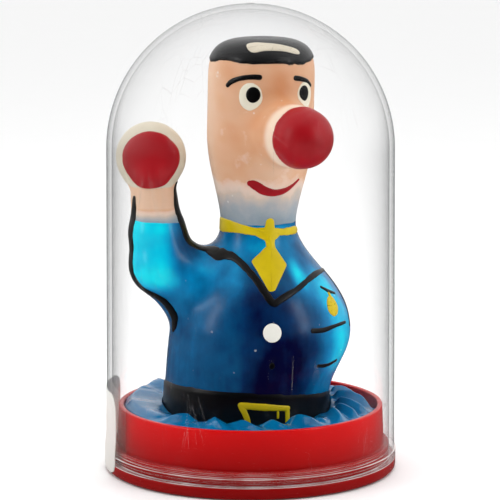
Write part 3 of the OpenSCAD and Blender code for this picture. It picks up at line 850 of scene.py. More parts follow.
# dipped natural latex: flesh pigment above, sprayed blue below with painted
# light and shade mixed into the blue, fading to a thin grey at the neck and the
# cuff, with the soft gloss of dipped rubber
coord = add(t, "ShaderNodeTexCoord").outputs["Object"]
above = add(t, "ShaderNodeAttribute", attribute_name="above_hem")
fade = add(t, "ShaderNodeAttribute", attribute_name="grey_fade")
painted_light_and_spray_in = add(t, "ShaderNodeAttribute", attribute_name="jacket_painted_light_and_spray")
mottle = add(t, "ShaderNodeTexNoise", {"Vector": coord, "Scale": 260.0, "Detail": 4.0, "Roughness": 0.65})
broad = add(t, "ShaderNodeTexNoise", {"Vector": coord, "Scale": 90.0, "Detail": 2.0})
plain_flesh = add(
    t, "ShaderNodeMix", {"Factor": broad.outputs["Fac"], 6: ink("d39e76"), 7: ink("deb294")}, data_type="RGBA"
)
warm = add(t, "ShaderNodeAttribute", attribute_name="warm_spray")
pale = add(t, "ShaderNodeAttribute", attribute_name="pale_spray")
warmer = add(
    t, "ShaderNodeMix", {"Factor": warm.outputs["Fac"], 6: plain_flesh.outputs[2], 7: ink("cc8450")},
    data_type="RGBA",
)
flesh = add(
    t, "ShaderNodeMix", {"Factor": pale.outputs["Fac"], 6: warmer.outputs[2], 7: ink("ead2bc")},
    data_type="RGBA",
)
speck = add(t, "ShaderNodeMath", {0: mottle.outputs["Fac"], 1: 0.5}, operation="SUBTRACT")
fade_in = add(
    t, "ShaderNodeMath", {0: speck.outputs[0], 1: 0.5, 2: fade.outputs["Fac"]}, operation="MULTIPLY_ADD"
)
greys = fill_ramp(
    add(t, "ShaderNodeValToRGB", {"Fac": fade_in.outputs[0]}),
    [(0.1, (1, 1, 1, 1)), (0.45, ink("cdbcae")), (0.75, ink("a2a8ae")), (1.0, ink("8798a4"))],
)
cover = add(t, "ShaderNodeMapRange", {"Value": fade_in.outputs[0], "From Min": 0.08, "From Max": 0.5})
greyed = add(
    t, "ShaderNodeMix", {"Factor": cover.outputs[0], 6: flesh.outputs[2], 7: greys}, data_type="RGBA"
)
streak_way = add(t, "ShaderNodeMapping", {"Vector": coord, "Scale": (1.0, 1.0, 0.2)})
streaks = add(t, "ShaderNodeTexNoise", {"Vector": streak_way.outputs[0], "Scale": 520.0, "Detail": 3.0})
streak_amount = add(
    t, "ShaderNodeMapRange", {"Value": streaks.outputs["Fac"], "To Min": -0.09, "To Max": 0.09}
)
fine_amount = add(t, "ShaderNodeMapRange", {"Value": mottle.outputs["Fac"], "To Min": -0.10, "To Max": 0.10})
stir = add(t, "ShaderNodeMath", {0: streak_amount.outputs[0], 1: fine_amount.outputs[0]}, operation="ADD")
level = add(t, "ShaderNodeMath", {0: painted_light_and_spray_in.outputs["Fac"], 1: stir.outputs[0]}, operation="ADD")
blues = fill_ramp(
    add(t, "ShaderNodeValToRGB", {"Fac": level.outputs[0]}),
    [
        (0.0, ink("000230")), (0.2, ink("002c5a")), (0.4, ink("005282")), (0.6, ink("007eb6")),
        (0.8, ink("00b6de")), (1.0, ink("04e2f4")),
    ],
)
is_above = add(t, "ShaderNodeMapRange", {"Value": above.outputs["Fac"], "From Min": -0.06, "From Max": 0.06})
clean = add(
    t, "ShaderNodeMix", {"Factor": is_above.outputs[0], 6: blues, 7: greyed.outputs[2]}, data_type="RGBA"
)
dust = add(t, "ShaderNodeTexVoronoi", {"Vector": coord, "Scale": 420.0, "Randomness": 1.0})
dot = add(
    t, "ShaderNodeMapRange",
    {"Value": dust.outputs["Distance"], "From Min": 0.05, "From Max": 0.12, "To Min": 0.6, "To Max": 0.0},
)
some = add(t, "ShaderNodeMapRange", {"Value": mottle.outputs["Fac"], "From Min": 0.56, "From Max": 0.62})
dusty = add(t, "ShaderNodeMath", {0: dot.outputs[0], 1: some.outputs[0]}, operation="MULTIPLY")
colour = add(
    t, "ShaderNodeMix", {"Factor": dusty.outputs[0], 6: clean.outputs[2], 7: ink("e8e6e0")}, data_type="RGBA"
)
pit = add(t, "ShaderNodeBump", {"Height": mottle.outputs["Fac"], "Strength": 0.12, "Distance": 0.0002})
gloss_of = add(t, "ShaderNodeMapRange", {"Value": is_above.outputs[0], "To Min": 0.24, "To Max": 0.42})
rubber = add(
    t, "ShaderNodeBsdfPrincipled",
    {
        "Base Color": colour.outputs[2], "Roughness": gloss_of.outputs[0], "IOR": 1.52,
        "Specular IOR Level": 0.2,
        "Subsurface Weight": 0.1, "Subsurface Radius": (1.0, 0.5, 0.3), "Subsurface Scale": 0.0008,
        "Normal": pit.outputs[0],
    },
)
give(t, rubber.outputs[0])
skin.data.materials.append(latex)

# ---------------------------------------------------------------------------
# Hand-painted films: thick coloured latex put on with a fine brush. Each is a
# raised layer with a rounded edge, laid on the skin by one node tree.
# ---------------------------------------------------------------------------

film_t = 0.2


def lay_tree():
    """Geometry Nodes: drops a flat patch on to the skin and raises its middle."""
    tree, given = start_tree(
        "lay_paint",
        [("Skin", "Object"), ("Film thickness", "Float"), ("Base height", "Float"), ("Material", "Material")],
    )
    info = add(tree, "GeometryNodeObjectInfo", {"Object": given.outputs["Skin"]}, transform_space="ORIGINAL")
    near = add(tree, "GeometryNodeProximity", {0: info.outputs["Geometry"]}, target_element="FACES")
    normal = add(tree, "GeometryNodeInputNormal")
    under = add(
        tree, "GeometryNodeSampleNearestSurface",
        {"Mesh": info.outputs["Geometry"], "Value": normal.outputs[0]}, data_type="FLOAT_VECTOR",
    )
    rise = add(tree, "GeometryNodeInputNamedAttribute", {"Name": "rise"}, data_type="FLOAT")
    high = add(
        tree, "ShaderNodeMath",
        {0: rise.outputs["Attribute"], 1: given.outputs["Film thickness"], 2: given.outputs["Base height"]},
        operation="MULTIPLY_ADD",
    )
    lift = add(
        tree, "ShaderNodeVectorMath", {0: under.outputs[0], "Scale": high.outputs[0]}, operation="SCALE"
    )
    place = add(
        tree, "ShaderNodeVectorMath", {0: near.outputs["Position"], 1: lift.outputs[0]}, operation="ADD"
    )
    moved = add(
        tree, "GeometryNodeSetPosition", {"Geometry": given.outputs["Geometry"], "Position": place.outputs[0]}
    )
    return end_tree(tree, moved.outputs[0], given.outputs["Material"])


lay_paint = lay_tree()


def paint(name, dark, light, rough, scale=300.0):
    """Brush-laid pigmented latex: two close tones, a soft gloss and brush drag."""
    mat, tree = new_material(name)
    place = add(tree, "ShaderNodeTexCoord").outputs["Object"]
    blot = add(tree, "ShaderNodeTexNoise", {"Vector": place, "Scale": scale, "Detail": 4.0, "Roughness": 0.6})
    body = add(
        tree, "ShaderNodeMix", {"Factor": blot.outputs["Fac"], 6: ink(dark), 7: ink(light)}, data_type="RGBA"
    )
    drag = add(tree, "ShaderNodeTexNoise", {"Vector": place, "Scale": 4 * scale, "Detail": 2.0})
    relief = add(
        tree, "ShaderNodeBump", {"Height": drag.outputs["Fac"], "Strength": 0.15, "Distance": 0.0001}
    )
    sheen = add(
        tree, "ShaderNodeMapRange",
        {"Value": blot.outputs["Fac"], "To Min": rough - 0.06, "To Max": rough + 0.08},
    )
    coat = add(
        tree, "ShaderNodeBsdfPrincipled",
        {
            "Base Color": body.outputs[2], "Roughness": sheen.outputs[0], "IOR": 1.5,
            "Specular IOR Level": 0.26,
            "Normal": relief.outputs[0],
        },
    )
    give(tree, coat.outputs[0])
    return mat


black_paint = paint("black_latex_paint", "020203", "0b0b0d", 0.32)
yellow_paint = paint("yellow_latex_paint", "b59a00", "ecd400", 0.36, 160.0)
white_paint = paint("white_latex_paint", "e9e7dc", "f6f5ee", 0.34)
cream_white = paint("off_white_latex_paint", "dcd5c0", "e9e4d2", 0.34)
cream_paint = paint("cream_latex_paint", "c9bea9", "dad1be", 0.36)
red_paint = paint("crimson_latex_paint", "8c020c", "b4081a", 0.4, 120.0)
mouth_paint = paint("dark_red_latex_paint", "8a0410", "ac0a1c", 0.3)


def spline(rows, step):
    """Smooth path through rows of numbers, with about one point per step of length."""
    rows = np.asarray(rows, float)
    full = np.vstack([2 * rows[0] - rows[1], rows, 2 * rows[-1] - rows[-2]])
    out = []
    for i in range(1, len(full) - 2):
        a, b, c, d = full[i - 1 : i + 3]
        n = max(2, int(np.linalg.norm((c - b)[:3]) / step))
        for f in np.linspace(0, 1, n, endpoint=False):
            out.append(
                0.5
                * (2 * b + (c - a) * f + (2 * a - 5 * b + 4 * c - d) * f**2 + (3 * b - a - 3 * c + d) * f**3)
            )
    out.append(rows[-1])
    return np.array(out)


def on_skin(turn, z):
    """Point on the skin where a level line at a turn in degrees leaves the trunk's axis."""
    a = math.radians(turn)
    reach = 3 + np.arange(0, 20, 0.04)
    line = np.stack(
        [float(trunk_x(np.array(z))) + reach * math.sin(a), -reach * math.cos(a), np.full_like(reach, z)], -1
    )
    return list(line[np.argmax(figure_distance(line) > 0)])


def bake_film(name, mesh, rise, mat, nodes, base, thickness):
    store(mesh, "rise", rise)
    piece = bake_nodes(
        name, mesh, lay_paint,
        {"Skin": skin, "Film thickness": thickness * MM, "Base height": base * MM, "Material": mat},
    )
    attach(piece, "figure")
    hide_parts(*nodes)


def film(name, grid_points, rise, faces, mat, nodes, base=0.0, thickness=film_t):
    """Lays one flat patch of points and faces on the skin."""
    mesh = bpy.data.meshes.new(name)
    mesh.from_pydata((np.asarray(grid_points) * MM).tolist(), [], faces)
    bake_film(name, mesh, rise, mat, nodes, base, thickness)


def ribbon(path, wobble=0.04, seed=1, across=9):
    """Flat ribbon along a path of points with half widths, with round ends."""
    path = np.asarray(path, float)
    spots, normals = settle(path[:, :3].copy())
    width = path[:, 3] * (1 + wobble * waves(spots, 1.7, seed) * 2)
    ahead = np.gradient(spots, axis=0)
    ahead /= np.linalg.norm(ahead, axis=1)[:, None]
    side = np.cross(normals, ahead)
    caps = np.radians([90, 72, 54, 36, 18])
    rows = [
        (spots[0] - ahead[0] * width[0] * math.sin(c), side[0], width[0] * math.cos(c), math.cos(c))
        for c in caps
    ]
    rows += [(s, d, w, 1.0) for s, d, w in zip(spots, side, width)]
    rows += [
        (spots[-1] + ahead[-1] * width[-1] * math.sin(c), side[-1], width[-1] * math.cos(c), math.cos(c))
        for c in caps[::-1]
    ]
    v = np.sin(np.linspace(-math.pi / 2, math.pi / 2, across))
    points, rise = [], []
    for s, d, w, h in rows:
        for q in v:
            points.append(s + d * w * q)
            rise.append(math.sqrt(max(1 - q * q, 0)) ** 0.7 * h**0.7 * 1.15 - 0.15)
    faces = [
        (i * across + j, (i + 1) * across + j, (i + 1) * across + j + 1, i * across + j + 1)
        for i in range(len(rows) - 1) for j in range(across - 1)
    ]
    return points, rise, faces


def join_patches(patches):
    """Several patches as one set of points, rises and faces."""
    points, rise, faces = [], [], []
    for some_points, some_rise, some_faces in patches:
        start = len(points)
        points += list(some_points)
        rise += list(some_rise)
        faces += [tuple(start + i for i in f) for f in some_faces]
    return points, rise, faces


def stroke(rows, step=0.3, wobble=0.04, seed=1):
    """Brush stroke through rows of turn, height and half width on the skin."""
    return ribbon(spline([on_skin(a, z) + [w] for a, z, w in rows], step), wobble, seed)


def outline_patch(corners, cut=0.35, seed=2, uneven=0.012):
    """Filled patch inside corners of turn and height, each softened over cut millimetres."""
    marks = [np.array(on_skin(a, z)) for a, z in corners]
    ring = []
    for i, here in enumerate(marks):
        before, after = marks[i - 1] - here, marks[(i + 1) % len(marks)] - here
        lead = here + before * min(0.45, cut / np.linalg.norm(before))
        leave = here + after * min(0.45, cut / np.linalg.norm(after))
        ring += [(1 - f) ** 2 * lead + 2 * f * (1 - f) * here + f * f * leave for f in np.linspace(0, 1, 5)]
        far = np.linalg.norm(marks[(i + 1) % len(marks)] - here)
        ring += [
            leave + (marks[(i + 1) % len(marks)] - leave) * f * (1 - cut / far)
            for f in np.linspace(0, 1, 10)[1:-1]
        ]
    return filled(np.array(ring), 10, uneven, seed)


def filled(ring, rings=9, uneven=0.015, seed=2):
    """Filled patch inside a closed ring of points that is star-shaped."""
    middle = ring.mean(0)
    ring = middle + (ring - middle) * (1 + uneven * waves(ring, 1.5, seed)[:, None])
    n = len(ring)
    points, rise = [middle], [1.0]
    for k in range(1, rings + 1):
        f = math.sin(math.pi / 2 * k / rings)
        for q in ring:
            points.append(middle + (q - middle) * f)
            rise.append(max(1 - f**6, 0) ** 0.5 * 1.15 - 0.15)
    faces = [(0, 1 + j, 1 + (j + 1) % n) for j in range(n)]
    for k in range(rings - 1):
        a, b = 1 + k * n, 1 + (k + 1) * n
        faces += [(a + j, b + j, b + (j + 1) % n, a + (j + 1) % n) for j in range(n)]
    return points, rise, faces


def dab(turn, z, wide, tall, seed=2, uneven=0.02):
    """Round dab of paint at a turn and a height on the trunk."""
    centre, normal = settle(np.array([on_skin(turn, z)]))
    centre, normal = centre[0], normal[0]
    across = np.cross([0, 0, 1], normal)
    across /= np.linalg.norm(across)
    up = np.cross(normal, across)
    spin = np.linspace(0, 2 * math.pi, 40, endpoint=False)
    ring = centre + np.outer(wide * np.cos(spin), across) + np.outer(tall * np.sin(spin), up)
    return filled(ring, 9, uneven, seed)


def coat(name, mask, mat, nodes, base=0.0, thickness=film_t, soft=0.45):
    """Film over all of the skin where mask, in millimetres inside its edge, is above 0."""
    keep = mask > -0.9
    b = bmesh.new()
    b.from_mesh(skin.data)
    b.verts.ensure_lookup_table()
    gone = [b.verts[i] for i in np.flatnonzero(~keep)]
    bmesh.ops.delete(b, geom=gone, context="VERTS")
    mesh = bpy.data.meshes.new(name)
    b.to_mesh(mesh)
    b.free()
    for extra in [m.name for m in mesh.attributes if m.name in ("above_hem", "grey_fade", "jacket_painted_light_and_spray")]:
        mesh.attributes.remove(mesh.attributes[extra])
    mesh.materials.clear()
    f = np.clip(mask[keep] / soft, -1, 1)
    rise = np.where(f > 0, np.sqrt(np.maximum(1 - (1 - f) ** 2, 0)), f * 0.6)
    bake_film(name, mesh, rise, mat, nodes, base, thickness)


# --- Face: hair, highlight, brows, eyes, nose and mouth, painted last -------

face_turn = 9.5
eye_z = head_top - 10.2
brow_z = eye_z + 3.8
hair_z = head_top - 3.85
hair_edge = (
    hair_z + 0.22 * np.sin(np.radians(turn_of(p) * 5.5 + 40)) + 0.12 * waves(p, 3, 12)
    - 0.5 * bump_at(p, 18, hair_z, 22, 3)
)
coat("hair_film", p[:, 2] - hair_edge, black_paint, ["hair_cap"], thickness=0.24)
film(
    "hair_highlight", *outline_patch(
        [
            [-37, head_top - 0.9], [-30, head_top - 1.9], [-22, head_top - 2.35], [-11, head_top - 1.95],
            [4, head_top - 1.95], [16, head_top - 2.1], [28, head_top - 2.6], [37, head_top - 2.75],
            [38, head_top - 2.0], [24, head_top - 1.3], [8, head_top - 0.85], [-12, head_top - 0.7],
            [-28, head_top - 0.65],
        ],
        0.7, 4,
    ), cream_paint, ["hair_patch"], base=0.2,
)
film(
    "left_brow_film", *stroke(
        [
            [-50.5, brow_z - 1.7, 0.42], [-46, brow_z - 1.05, 0.48], [-38.3, brow_z - 0.5, 0.45],
            [-30.5, brow_z - 0.2, 0.45], [-21.3, brow_z - 0.05, 0.47], [-14.2, brow_z - 0.1, 0.52],
        ],
        0.25, 0.03, 5,
    ), black_paint, ["left_brow"],
)
film(
    "right_brow_film", *stroke(
        [
            [26.8, brow_z - 0.4, 0.5], [34, brow_z - 0.6, 0.46], [44.6, brow_z - 1.1, 0.42],
            [53, brow_z - 2.0, 0.36],
        ],
        0.25, 0.03, 6,
    ), black_paint, ["right_brow"],
)
for side, name in ((-1, "left"), (1, "right")):
    turn = face_turn + side * 33
    film(
        name + "_eye_film", *dab(turn, eye_z + 0.15, 2.25, 2.55, 7 + side), cream_white,
        [name + "_eye_white"], thickness=0.16,
    )
    film(
        name + "_pupil_film", *dab(turn - 3 * side, eye_z + 0.5, 1.34, 1.47, 9 + side), black_paint,
        [name + "_pupil"], base=0.14, thickness=0.16,
    )
nose_axis = np.array([float(trunk_x(np.array(nose_z))), 0, nose_z])
ahead_of_hem = np.where(
    p[:, 2] > 56, (p - nose_axis) @ nose_out - (nose_reach - 1.2) + 0.18 * waves(p, 5, 13), -5
)
coat("nose_film", ahead_of_hem, red_paint, ["nose_coat"], thickness=0.22, soft=0.4)
mouth_z = neck_z + 6
film(
    "mouth_film", *stroke(
        [
            [-23.4, mouth_z + 2.3, 0.55], [-20, mouth_z + 2.15, 0.8], [-14.6, mouth_z + 1.75, 0.9],
            [-5.9, mouth_z + 0.95, 0.88],
            [7.9, mouth_z + 0.45, 0.72], [22.6, mouth_z + 0.75, 0.55], [34, mouth_z + 1.55, 0.38],
            [44.5, mouth_z + 2.6, 0.2],
        ],
        0.25, 0.05, 14,
    ), mouth_paint, ["mouth"],
)

# --- Jacket: collar, tie, lapels, button, pocket, belt and buckle ------------

collar_z = neck_z - 0.95
film(
    "collar_film", *stroke(
        [
            [-112, collar_z + 0.6, 1.1], [-95, collar_z + 0.75, 1.3], [-80, collar_z + 0.75, 1.35],
            [-69, collar_z + 0.8, 1.3], [-54.6, collar_z + 0.75, 1.1],
            [-40, collar_z + 0.55, 0.88], [-27.4, collar_z + 0.3, 0.78], [-15.5, collar_z + 0.1, 0.75],
            [0, collar_z, 0.7], [26.3, collar_z - 0.15, 0.66],
            [43, collar_z - 0.2, 0.74], [59, collar_z - 0.25, 0.76], [74, collar_z - 0.3, 0.5],
        ],
        0.3, 0.05, 15,
    ), yellow_paint, ["collar"],
)
film(
    "tie_film", *join_patches(
        [
            stroke(
                [
                    [5.8, collar_z + 1.75, 0.8], [5.6, collar_z + 0.9, 0.95], [4.8, collar_z, 1.3],
                    [4.8, collar_z - 1, 1.15], [4.8, collar_z - 1.9, 0.9], [4.6, collar_z - 3, 0.85],
                ],
                0.25, 0.03, 11,
            ),
            outline_patch(
                [
                    [-20, collar_z + 0.8], [5, collar_z + 0.9], [25, collar_z + 0.5], [22, collar_z - 0.75],
                    [10, collar_z - 1.7], [0, collar_z - 1.7], [-17, collar_z - 0.6],
                ],
                0.4,
            ),
            outline_patch(
                [
                    [0, collar_z - 2.4], [9.5, collar_z - 2.4], [19.5, collar_z - 5.8],
                    [0.5, collar_z - 10.1], [-4.3, collar_z - 10.2], [-20.5, collar_z - 5.05],
                ],
                0.45, 12,
            ),
        ]
    ), yellow_paint, ["tie"], base=0.03,
)
vee_z = neck_z - 13.1
film(
    "lapel_film", *stroke(
        [
            [-76, vee_z + 8.6, 1.1], [-70, vee_z + 8.2, 1.25], [-61, vee_z + 7.9, 1.5],
            [-53, vee_z + 7.85, 1.05], [-47, vee_z + 7.8, 0.85], [-40.7, vee_z + 7.5, 0.72],
            [-29.3, vee_z + 6.45, 0.68], [-15, vee_z + 4.05, 0.68], [-6.8, vee_z + 1.55, 0.74],
            [-3.6, vee_z + 0.4, 0.8], [-1, vee_z + 0.05, 0.76],
            [2.9, vee_z + 0.5, 0.68], [9.9, vee_z + 1.25, 0.62], [20.8, vee_z + 2.2, 0.54],
            [35.9, vee_z + 3.45, 0.52], [51.4, vee_z + 4.1, 0.6], [66, vee_z + 4.15, 0.42],
            [82, vee_z + 3.9, 0.36],
        ],
        0.3, 0.08, 16,
    ), black_paint, ["lapel_line"],
)
button_z = belly_z + 3.35
film("button_film", *dab(-4.2, button_z, 1.72, 1.78, 17), white_paint, ["coat_button"])
film("stud_film", *dab(-1.9, button_z - 6.15, 0.5, 0.66, 18), black_paint, ["coat_stud"], thickness=0.12)
film(
    "pocket_film", *join_patches(
        [
            stroke(
                [
                    [24.7, button_z - 0.15, 0.5], [33.8, button_z - 0.3, 0.46], [44.4, button_z, 0.36],
                    [60, button_z + 0.05, 0.3],
                ],
                0.3, 0.05, 19,
            ),
            stroke(
                [[46.5, button_z + 7.0, 0.3], [53, button_z + 6.1, 0.4], [61, button_z + 5.4, 0.3]], 0.3,
                0.06, 20,
            ),
            stroke(
                [
                    [84, button_z + 9, 0.3], [82, button_z + 6.5, 0.34], [76, button_z + 3, 0.32],
                    [70, button_z - 1, 0.3],
                ],
                0.3, 0.05, 21,
            ),
            stroke(
                [[34, button_z - 7.05, 0.34], [43, button_z - 7.3, 0.38], [54, button_z - 6.9, 0.3]], 0.3,
                0.06, 22,
            ),
        ]
    ), black_paint, ["pocket_lines"], thickness=0.14,
)
film(
    "pendant_film", *join_patches(
        [
            stroke([[51.5, button_z + 5.7, 0.3], [51, button_z + 4.6, 0.5]], 0.2, 0.03, 23),
            outline_patch(
                [
                    [48, button_z + 5.3], [54, button_z + 5.3], [56, button_z + 3.3], [52, button_z + 1.9],
                    [46, button_z + 1.6], [41.5, button_z + 2.8], [43.5, button_z + 4.4],
                ],
                0.9, 24,
            ),
        ]
    ), yellow_paint, ["pendant"],
)
belt_top = 15.5 - 0.087 * p[:, 0] - 0.075 * p[:, 1] + 0.12 * waves(p, 6, 24)
belt_low = hip_z - 6.5
coat(
    "belt_film", np.minimum(belt_top - p[:, 2], p[:, 2] - belt_low), black_paint, ["belt"], thickness=0.2,
    soft=0.5,
)
buckle_z = hip_z + 1
film(
    "buckle_film", *join_patches(
        [
            stroke(
                [[-16, buckle_z + 0.75, 0.62], [0, buckle_z + 0.35, 0.7], [18.6, buckle_z - 0.2, 0.52]], 0.3,
                0.05, 25,
            ),
            stroke(
                [[-15.8, buckle_z + 0.6, 0.6], [-12, buckle_z - 1.4, 0.55], [-9.5, buckle_z - 3.4, 0.42]],
                0.3, 0.05, 26,
            ),
            stroke([[18.3, buckle_z - 0.2, 0.5], [18.6, buckle_z - 3.6, 0.46]], 0.3, 0.05, 27),
            stroke([[-9.5, buckle_z - 3.4, 0.42], [18.6, buckle_z - 3.7, 0.42]], 0.3, 0.05, 28),
        ]
    ), yellow_paint, ["buckle"], base=0.16,
)
film(
    "tongue_film", *stroke([[11, hip_z + 0.2, 0.24], [11, hip_z - 0.8, 0.24]], 0.2, 0.03, 29), yellow_paint,
    ["buckle_tongue"], base=0.16,
)

# --- Hand and sleeve: cream hand, red palm, black lines down both sides ------

from_hand = np.linalg.norm(p - hand_at, axis=1)
hand_edge = hand_r + 0.35 + 0.25 * waves(p, 5, 30)
coat(
    "hand_film", np.where(p[:, 2] > 45, hand_edge - from_hand, -5), cream_paint, ["hand_coat"],
    thickness=0.16, soft=0.4,
)
palm_r = 5.42
spin = np.linspace(0, 2 * math.pi, 64, endpoint=False)
palm_across = np.cross(palm_out, [0, 0, 1.0])
lumpy = (
    palm_r
    * (
        1 + 0.012 * np.sin(3 * spin + 1) - 0.05 * np.exp(-(((spin - 0.75) / 0.22) ** 2))
        - 0.02 * np.exp(-(((spin - 2.2) / 0.2) ** 2))
    )
)
palm_ring = (
    hand_at + palm_out * 3.2 + np.outer(-1.12 * lumpy * np.cos(spin), palm_across)
    + np.outer(lumpy * np.sin(spin), [0, 0, 1.0])
)
film("palm_film", *filled(palm_ring, 14, 0.0), red_paint, ["palm_disc"], base=0.12, thickness=0.24)

outer_line = [
    [-22.0, -1.6, 52.0, 0.4], [-22.3, -1.5, 50.5, 0.75], [-22.6, -1.2, 48.0, 1.1], [-23.0, -1.1, 45.0, 1.15],
    [-23.1, -1.0, 41.5, 1.1], [-22.9, -1.2, 38.8, 1.1],
    [-22.1, -1.7, 36.3, 1.05], [-20.7, -2.3, 34.7, 0.95], [-19.0, -3.0, 33.8, 0.95], [-17.5, -3.5, 33.0, 1.0],
    [-16.2, -3.7, 31.6, 1.15], [-15.4, -3.7, 30.1, 1.2], [-15.2, -3.1, 28.4, 0.9], [-15.4, -2.0, 27.0, 0.5],
]
inner_line = [
    [-14.3, -1.0, 54.6, 0.45], [-14.7, -1.6, 53.0, 0.75], [-14.9, -2.0, 51.0, 1.0], [-14.5, -2.3, 48.9, 1.15],
    [-13.9, -2.5, 47.0, 1.25], [-13.1, -2.6, 45.0, 1.3],
    [-12.1, -2.4, 43.7, 1.3], [-11.0, -2.2, 43.0, 1.25], [-9.7, -2.1, 42.5, 1.2], [-8.4, -2.4, 42.2, 1.15],
    [-7.5, -3.3, 41.8, 1.1],
]
film(
    "sleeve_film",
    *join_patches(
        [ribbon(spline(outer_line, 0.3), 0.05, 31, 11), ribbon(spline(inner_line, 0.3), 0.05, 32, 11)]
    ),
    black_paint, ["sleeve_lines"], thickness=0.24,
)

# The skin gets its wall once every film lies on its outside.
inside_wall = skin.modifiers.new("wall", "SOLIDIFY")
inside_wall.thickness = skin_t * MM
inside_wall.offset = -1
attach(skin, "figure")
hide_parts("head_skin", "jacket_skin", "hand_skin")

# ---------------------------------------------------------------------------
# Skirt: the loose open end of the same dip, a thin blue film about 0.1 mm
# thick that is pushed down and crumpled into the cup round the hips.
# ---------------------------------------------------------------------------

around, across = ((560, 44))
skirt_out = well_r - 0.08
loose_t = 0.12
tucked_z = 8.2


def by_turn(a, pairs):
    """Smooth value round the skirt from pairs of turn in degrees and value."""
    turns, values = np.array(pairs, float).T
    turns = np.concatenate([turns - 360, turns, turns + 360])
    values = np.tile(values, 3)
    spread = np.exp(2.2 * np.cos(np.radians(a[..., None] - turns)) * 6)
    return (spread * values).sum(-1) / spread.sum(-1)


def pleat(a, v, turn_in, turn_out, v_in, v_out, high, wide):
    """Sharp fold along a line from the torso's side out to the wall's side."""
    f = np.clip((v - v_in) / (v_out - v_in), 0, 1)
    off = (a - (turn_in + (turn_out - turn_in) * f) + 180) % 360 - 180
    ends = np.clip((v - v_in) / 0.12, 0, 1) * np.clip((v_out - v) / 0.18, 0, 1)
    return high * ends * (
        np.exp(-np.abs(off) / wide) - 0.35 * np.exp(-((np.abs(off) - 2.2 * wide) / wide) ** 2)
    )


a_line = np.linspace(-180, 180, around, endpoint=False)
v_line = np.linspace(0, 1, across)
aa, vv = np.meshgrid(a_line, v_line, indexing="ij")
sin_a, cos_a = np.sin(np.radians(aa)), np.cos(np.radians(aa))
# arch of the film: up beside the torso, over, and down inside the cup's wall
over = np.clip((vv - 0.12) / 0.76, 0, 1)
arch = np.clip(vv / 0.14, 0, 1) ** 0.6 * np.clip((1 - vv) / 0.14, 0, 1) ** 0.6
inner_z = by_turn(
    aa,
    [
        (0, 10.6), (-35, 11.0), (-70, 11.4), (-105, 12.9), (-150, 13.6), (180, 13.2), (140, 13.4),
        (100, 13.0), (60, 11.4), (30, 10.8),
    ],
)
ridge_z = by_turn(
    aa,
    [
        (0, 12.3), (-35, 12.2), (-70, 12.6), (-105, 13.3), (-150, 13.4), (180, 12.8), (140, 12.8),
        (100, 12.4), (60, 12.2), (30, 12.2),
    ],
)
wall_z = by_turn(
    aa,
    [
        (0, 11.7), (-35, 11.7), (-70, 11.9), (-105, 12.1), (-150, 11.9), (180, 11.4), (140, 10.4), (100, 9.6),
        (60, 11.0), (30, 11.6),
    ],
)
ridge_at = by_turn(
    aa, [(0, 0.5), (-40, 0.45), (-90, 0.72), (-150, 0.7), (180, 0.5), (120, 0.3), (60, 0.35), (30, 0.5)]
)
crest = np.where(
    over < ridge_at, inner_z + (ridge_z - inner_z) * ease(over / ridge_at),
    wall_z + (ridge_z - wall_z) * ease((1 - over) / (1 - ridge_at)),
)
flat_place = np.stack(
    [19 * sin_a + 3 * over * sin_a, -19 * cos_a - 3 * over * cos_a, 3 * over], -1
).reshape(-1, 3)
soft = waves(flat_place, 11.0, 40, 2).reshape(aa.shape)
small = waves(flat_place, 3.4, 41).reshape(aa.shape)
calm = np.where((aa > -120) & (aa < -55), 0.45, 1.0)
crest += 0.5 * soft * calm + 0.12 * np.abs(small) * calm
for turn_in, turn_out, v_in, v_out, high, wide in (
    (74, 64, 0.12, 0.85, 1.3, 2.6), (85, 82, 0.1, 0.88, 1.5, 2.4), (94, 99, 0.1, 0.88, 1.4, 2.4),
    (63, 50, 0.15, 0.85, 1.1, 2.6),
    (104, 118, 0.1, 0.85, 1.1, 3.0), (50, 34, 0.2, 0.9, 1.0, 3.0), (-18, -8, 0.15, 0.9, 0.8, 3.4),
    (14, 22, 0.1, 0.85, 1.1, 3.0),
    (-46, -56, 0.2, 0.9, 1.1, 3.2), (-32, -26, 0.2, 0.85, 0.8, 3.0), (-128, -140, 0.1, 0.9, 0.8, 4.0),
    (150, 142, 0.1, 0.85, 1.0, 3.6),
    (172, 178, 0.1, 0.9, 0.9, 3.6), (-160, -154, 0.1, 0.85, 0.8, 3.6), (128, 122, 0.1, 0.85, 0.9, 3.0),
    (0, 4, 0.3, 0.95, 0.7, 3.0),
):
    crest += pleat(aa, over, turn_in, turn_out, v_in, v_out, high, wide)
z = tucked_z + (crest - tucked_z) * arch
hip_in = hip_r + 0.3
in_x, in_y = hip_x + hip_in * sin_a, -hip_in * torso_depth * cos_a
out_x, out_y = skirt_out * sin_a, -skirt_out * cos_a
lean = ease(over)
x = in_x + (out_x - in_x) * (0.25 * lean + 0.75 * over)
y = in_y + (out_y - in_y) * (0.25 * lean + 0.75 * over)
start = np.stack([x, y, z], -1).reshape(-1, 3)
skirt_faces = [
    (i * across + j, i * across + j + 1, ((i + 1) % around) * across + j + 1, ((i + 1) % around) * across + j)
    for i in range(around) for j in range(across - 1)
]
mesh = bpy.data.meshes.new("skirt")
mesh.from_pydata((start * MM).tolist(), [], skirt_faces)
skirt = put("loose_latex_skirt", mesh)
face_out(skirt)
loose, t = new_material("thin_blue_latex_film")
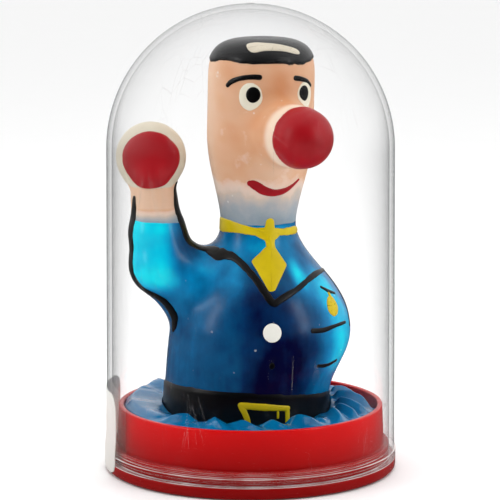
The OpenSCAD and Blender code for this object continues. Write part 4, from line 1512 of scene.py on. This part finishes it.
# thin stretched latex: wet gloss, with a blue that varies in random blotches
coord = add(t, "ShaderNodeTexCoord").outputs["Object"]
blot = add(t, "ShaderNodeTexNoise", {"Vector": coord, "Scale": 170.0, "Detail": 4.0})
blue = add(
    t, "ShaderNodeMix", {"Factor": blot.outputs["Fac"], 6: ink("005084"), 7: ink("0486bc")}, data_type="RGBA"
)
fine = add(t, "ShaderNodeTexNoise", {"Vector": coord, "Scale": 900.0, "Detail": 3.0})
crease = add(t, "ShaderNodeBump", {"Height": fine.outputs["Fac"], "Strength": 0.1, "Distance": 0.0002})
wet = add(
    t, "ShaderNodeBsdfPrincipled",
    {
        "Base Color": blue.outputs[2], "Roughness": 0.12, "IOR": 1.52, "Specular IOR Level": 0.6,
        "Subsurface Weight": 0.1, "Subsurface Scale": 0.0006, "Normal": crease.outputs[0],
    },
)
give(t, wet.outputs[0])
skirt.data.materials.append(loose)
shade_smooth(skirt)
soft_wall = skirt.modifiers.new("film_thickness", "SOLIDIFY")
soft_wall.thickness = loose_t * MM
soft_wall.offset = 0
finer = skirt.modifiers.new("smooth_folds", "SUBSURF")
finer.levels = 1
finer.render_levels = 1
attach(skirt, "figure")
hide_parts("skirt")

# ---------------------------------------------------------------------------
# Inside pieces, hidden under the skirt and in the torso: the rolled bead of
# the skin's open end, the card disc in the cup and the card tube.
# ---------------------------------------------------------------------------

card, t = new_material("grey_board")
# uncoated board: matt, with fibres about half a millimetre long
coord = add(t, "ShaderNodeTexCoord").outputs["Object"]
pulp = add(t, "ShaderNodeTexNoise", {"Vector": coord, "Scale": 2000.0, "Detail": 5.0})
tone = add(
    t, "ShaderNodeMix", {"Factor": pulp.outputs["Fac"], 6: ink("b8b0a0"), 7: ink("d0c9ba")}, data_type="RGBA"
)
rough_face = add(t, "ShaderNodeBump", {"Height": pulp.outputs["Fac"], "Strength": 0.3, "Distance": 0.0001})
board = add(
    t, "ShaderNodeBsdfPrincipled",
    {"Base Color": tone.outputs[2], "Roughness": 0.9, "Normal": rough_face.outputs[0]},
)
give(t, board.outputs[0])
for node, mat in (("base_card", card), ("former_tube", card), ("rim_bead", loose)):
    piece = bpy.data.objects[node]
    piece.data.materials.clear()
    piece.data.materials.append(mat)
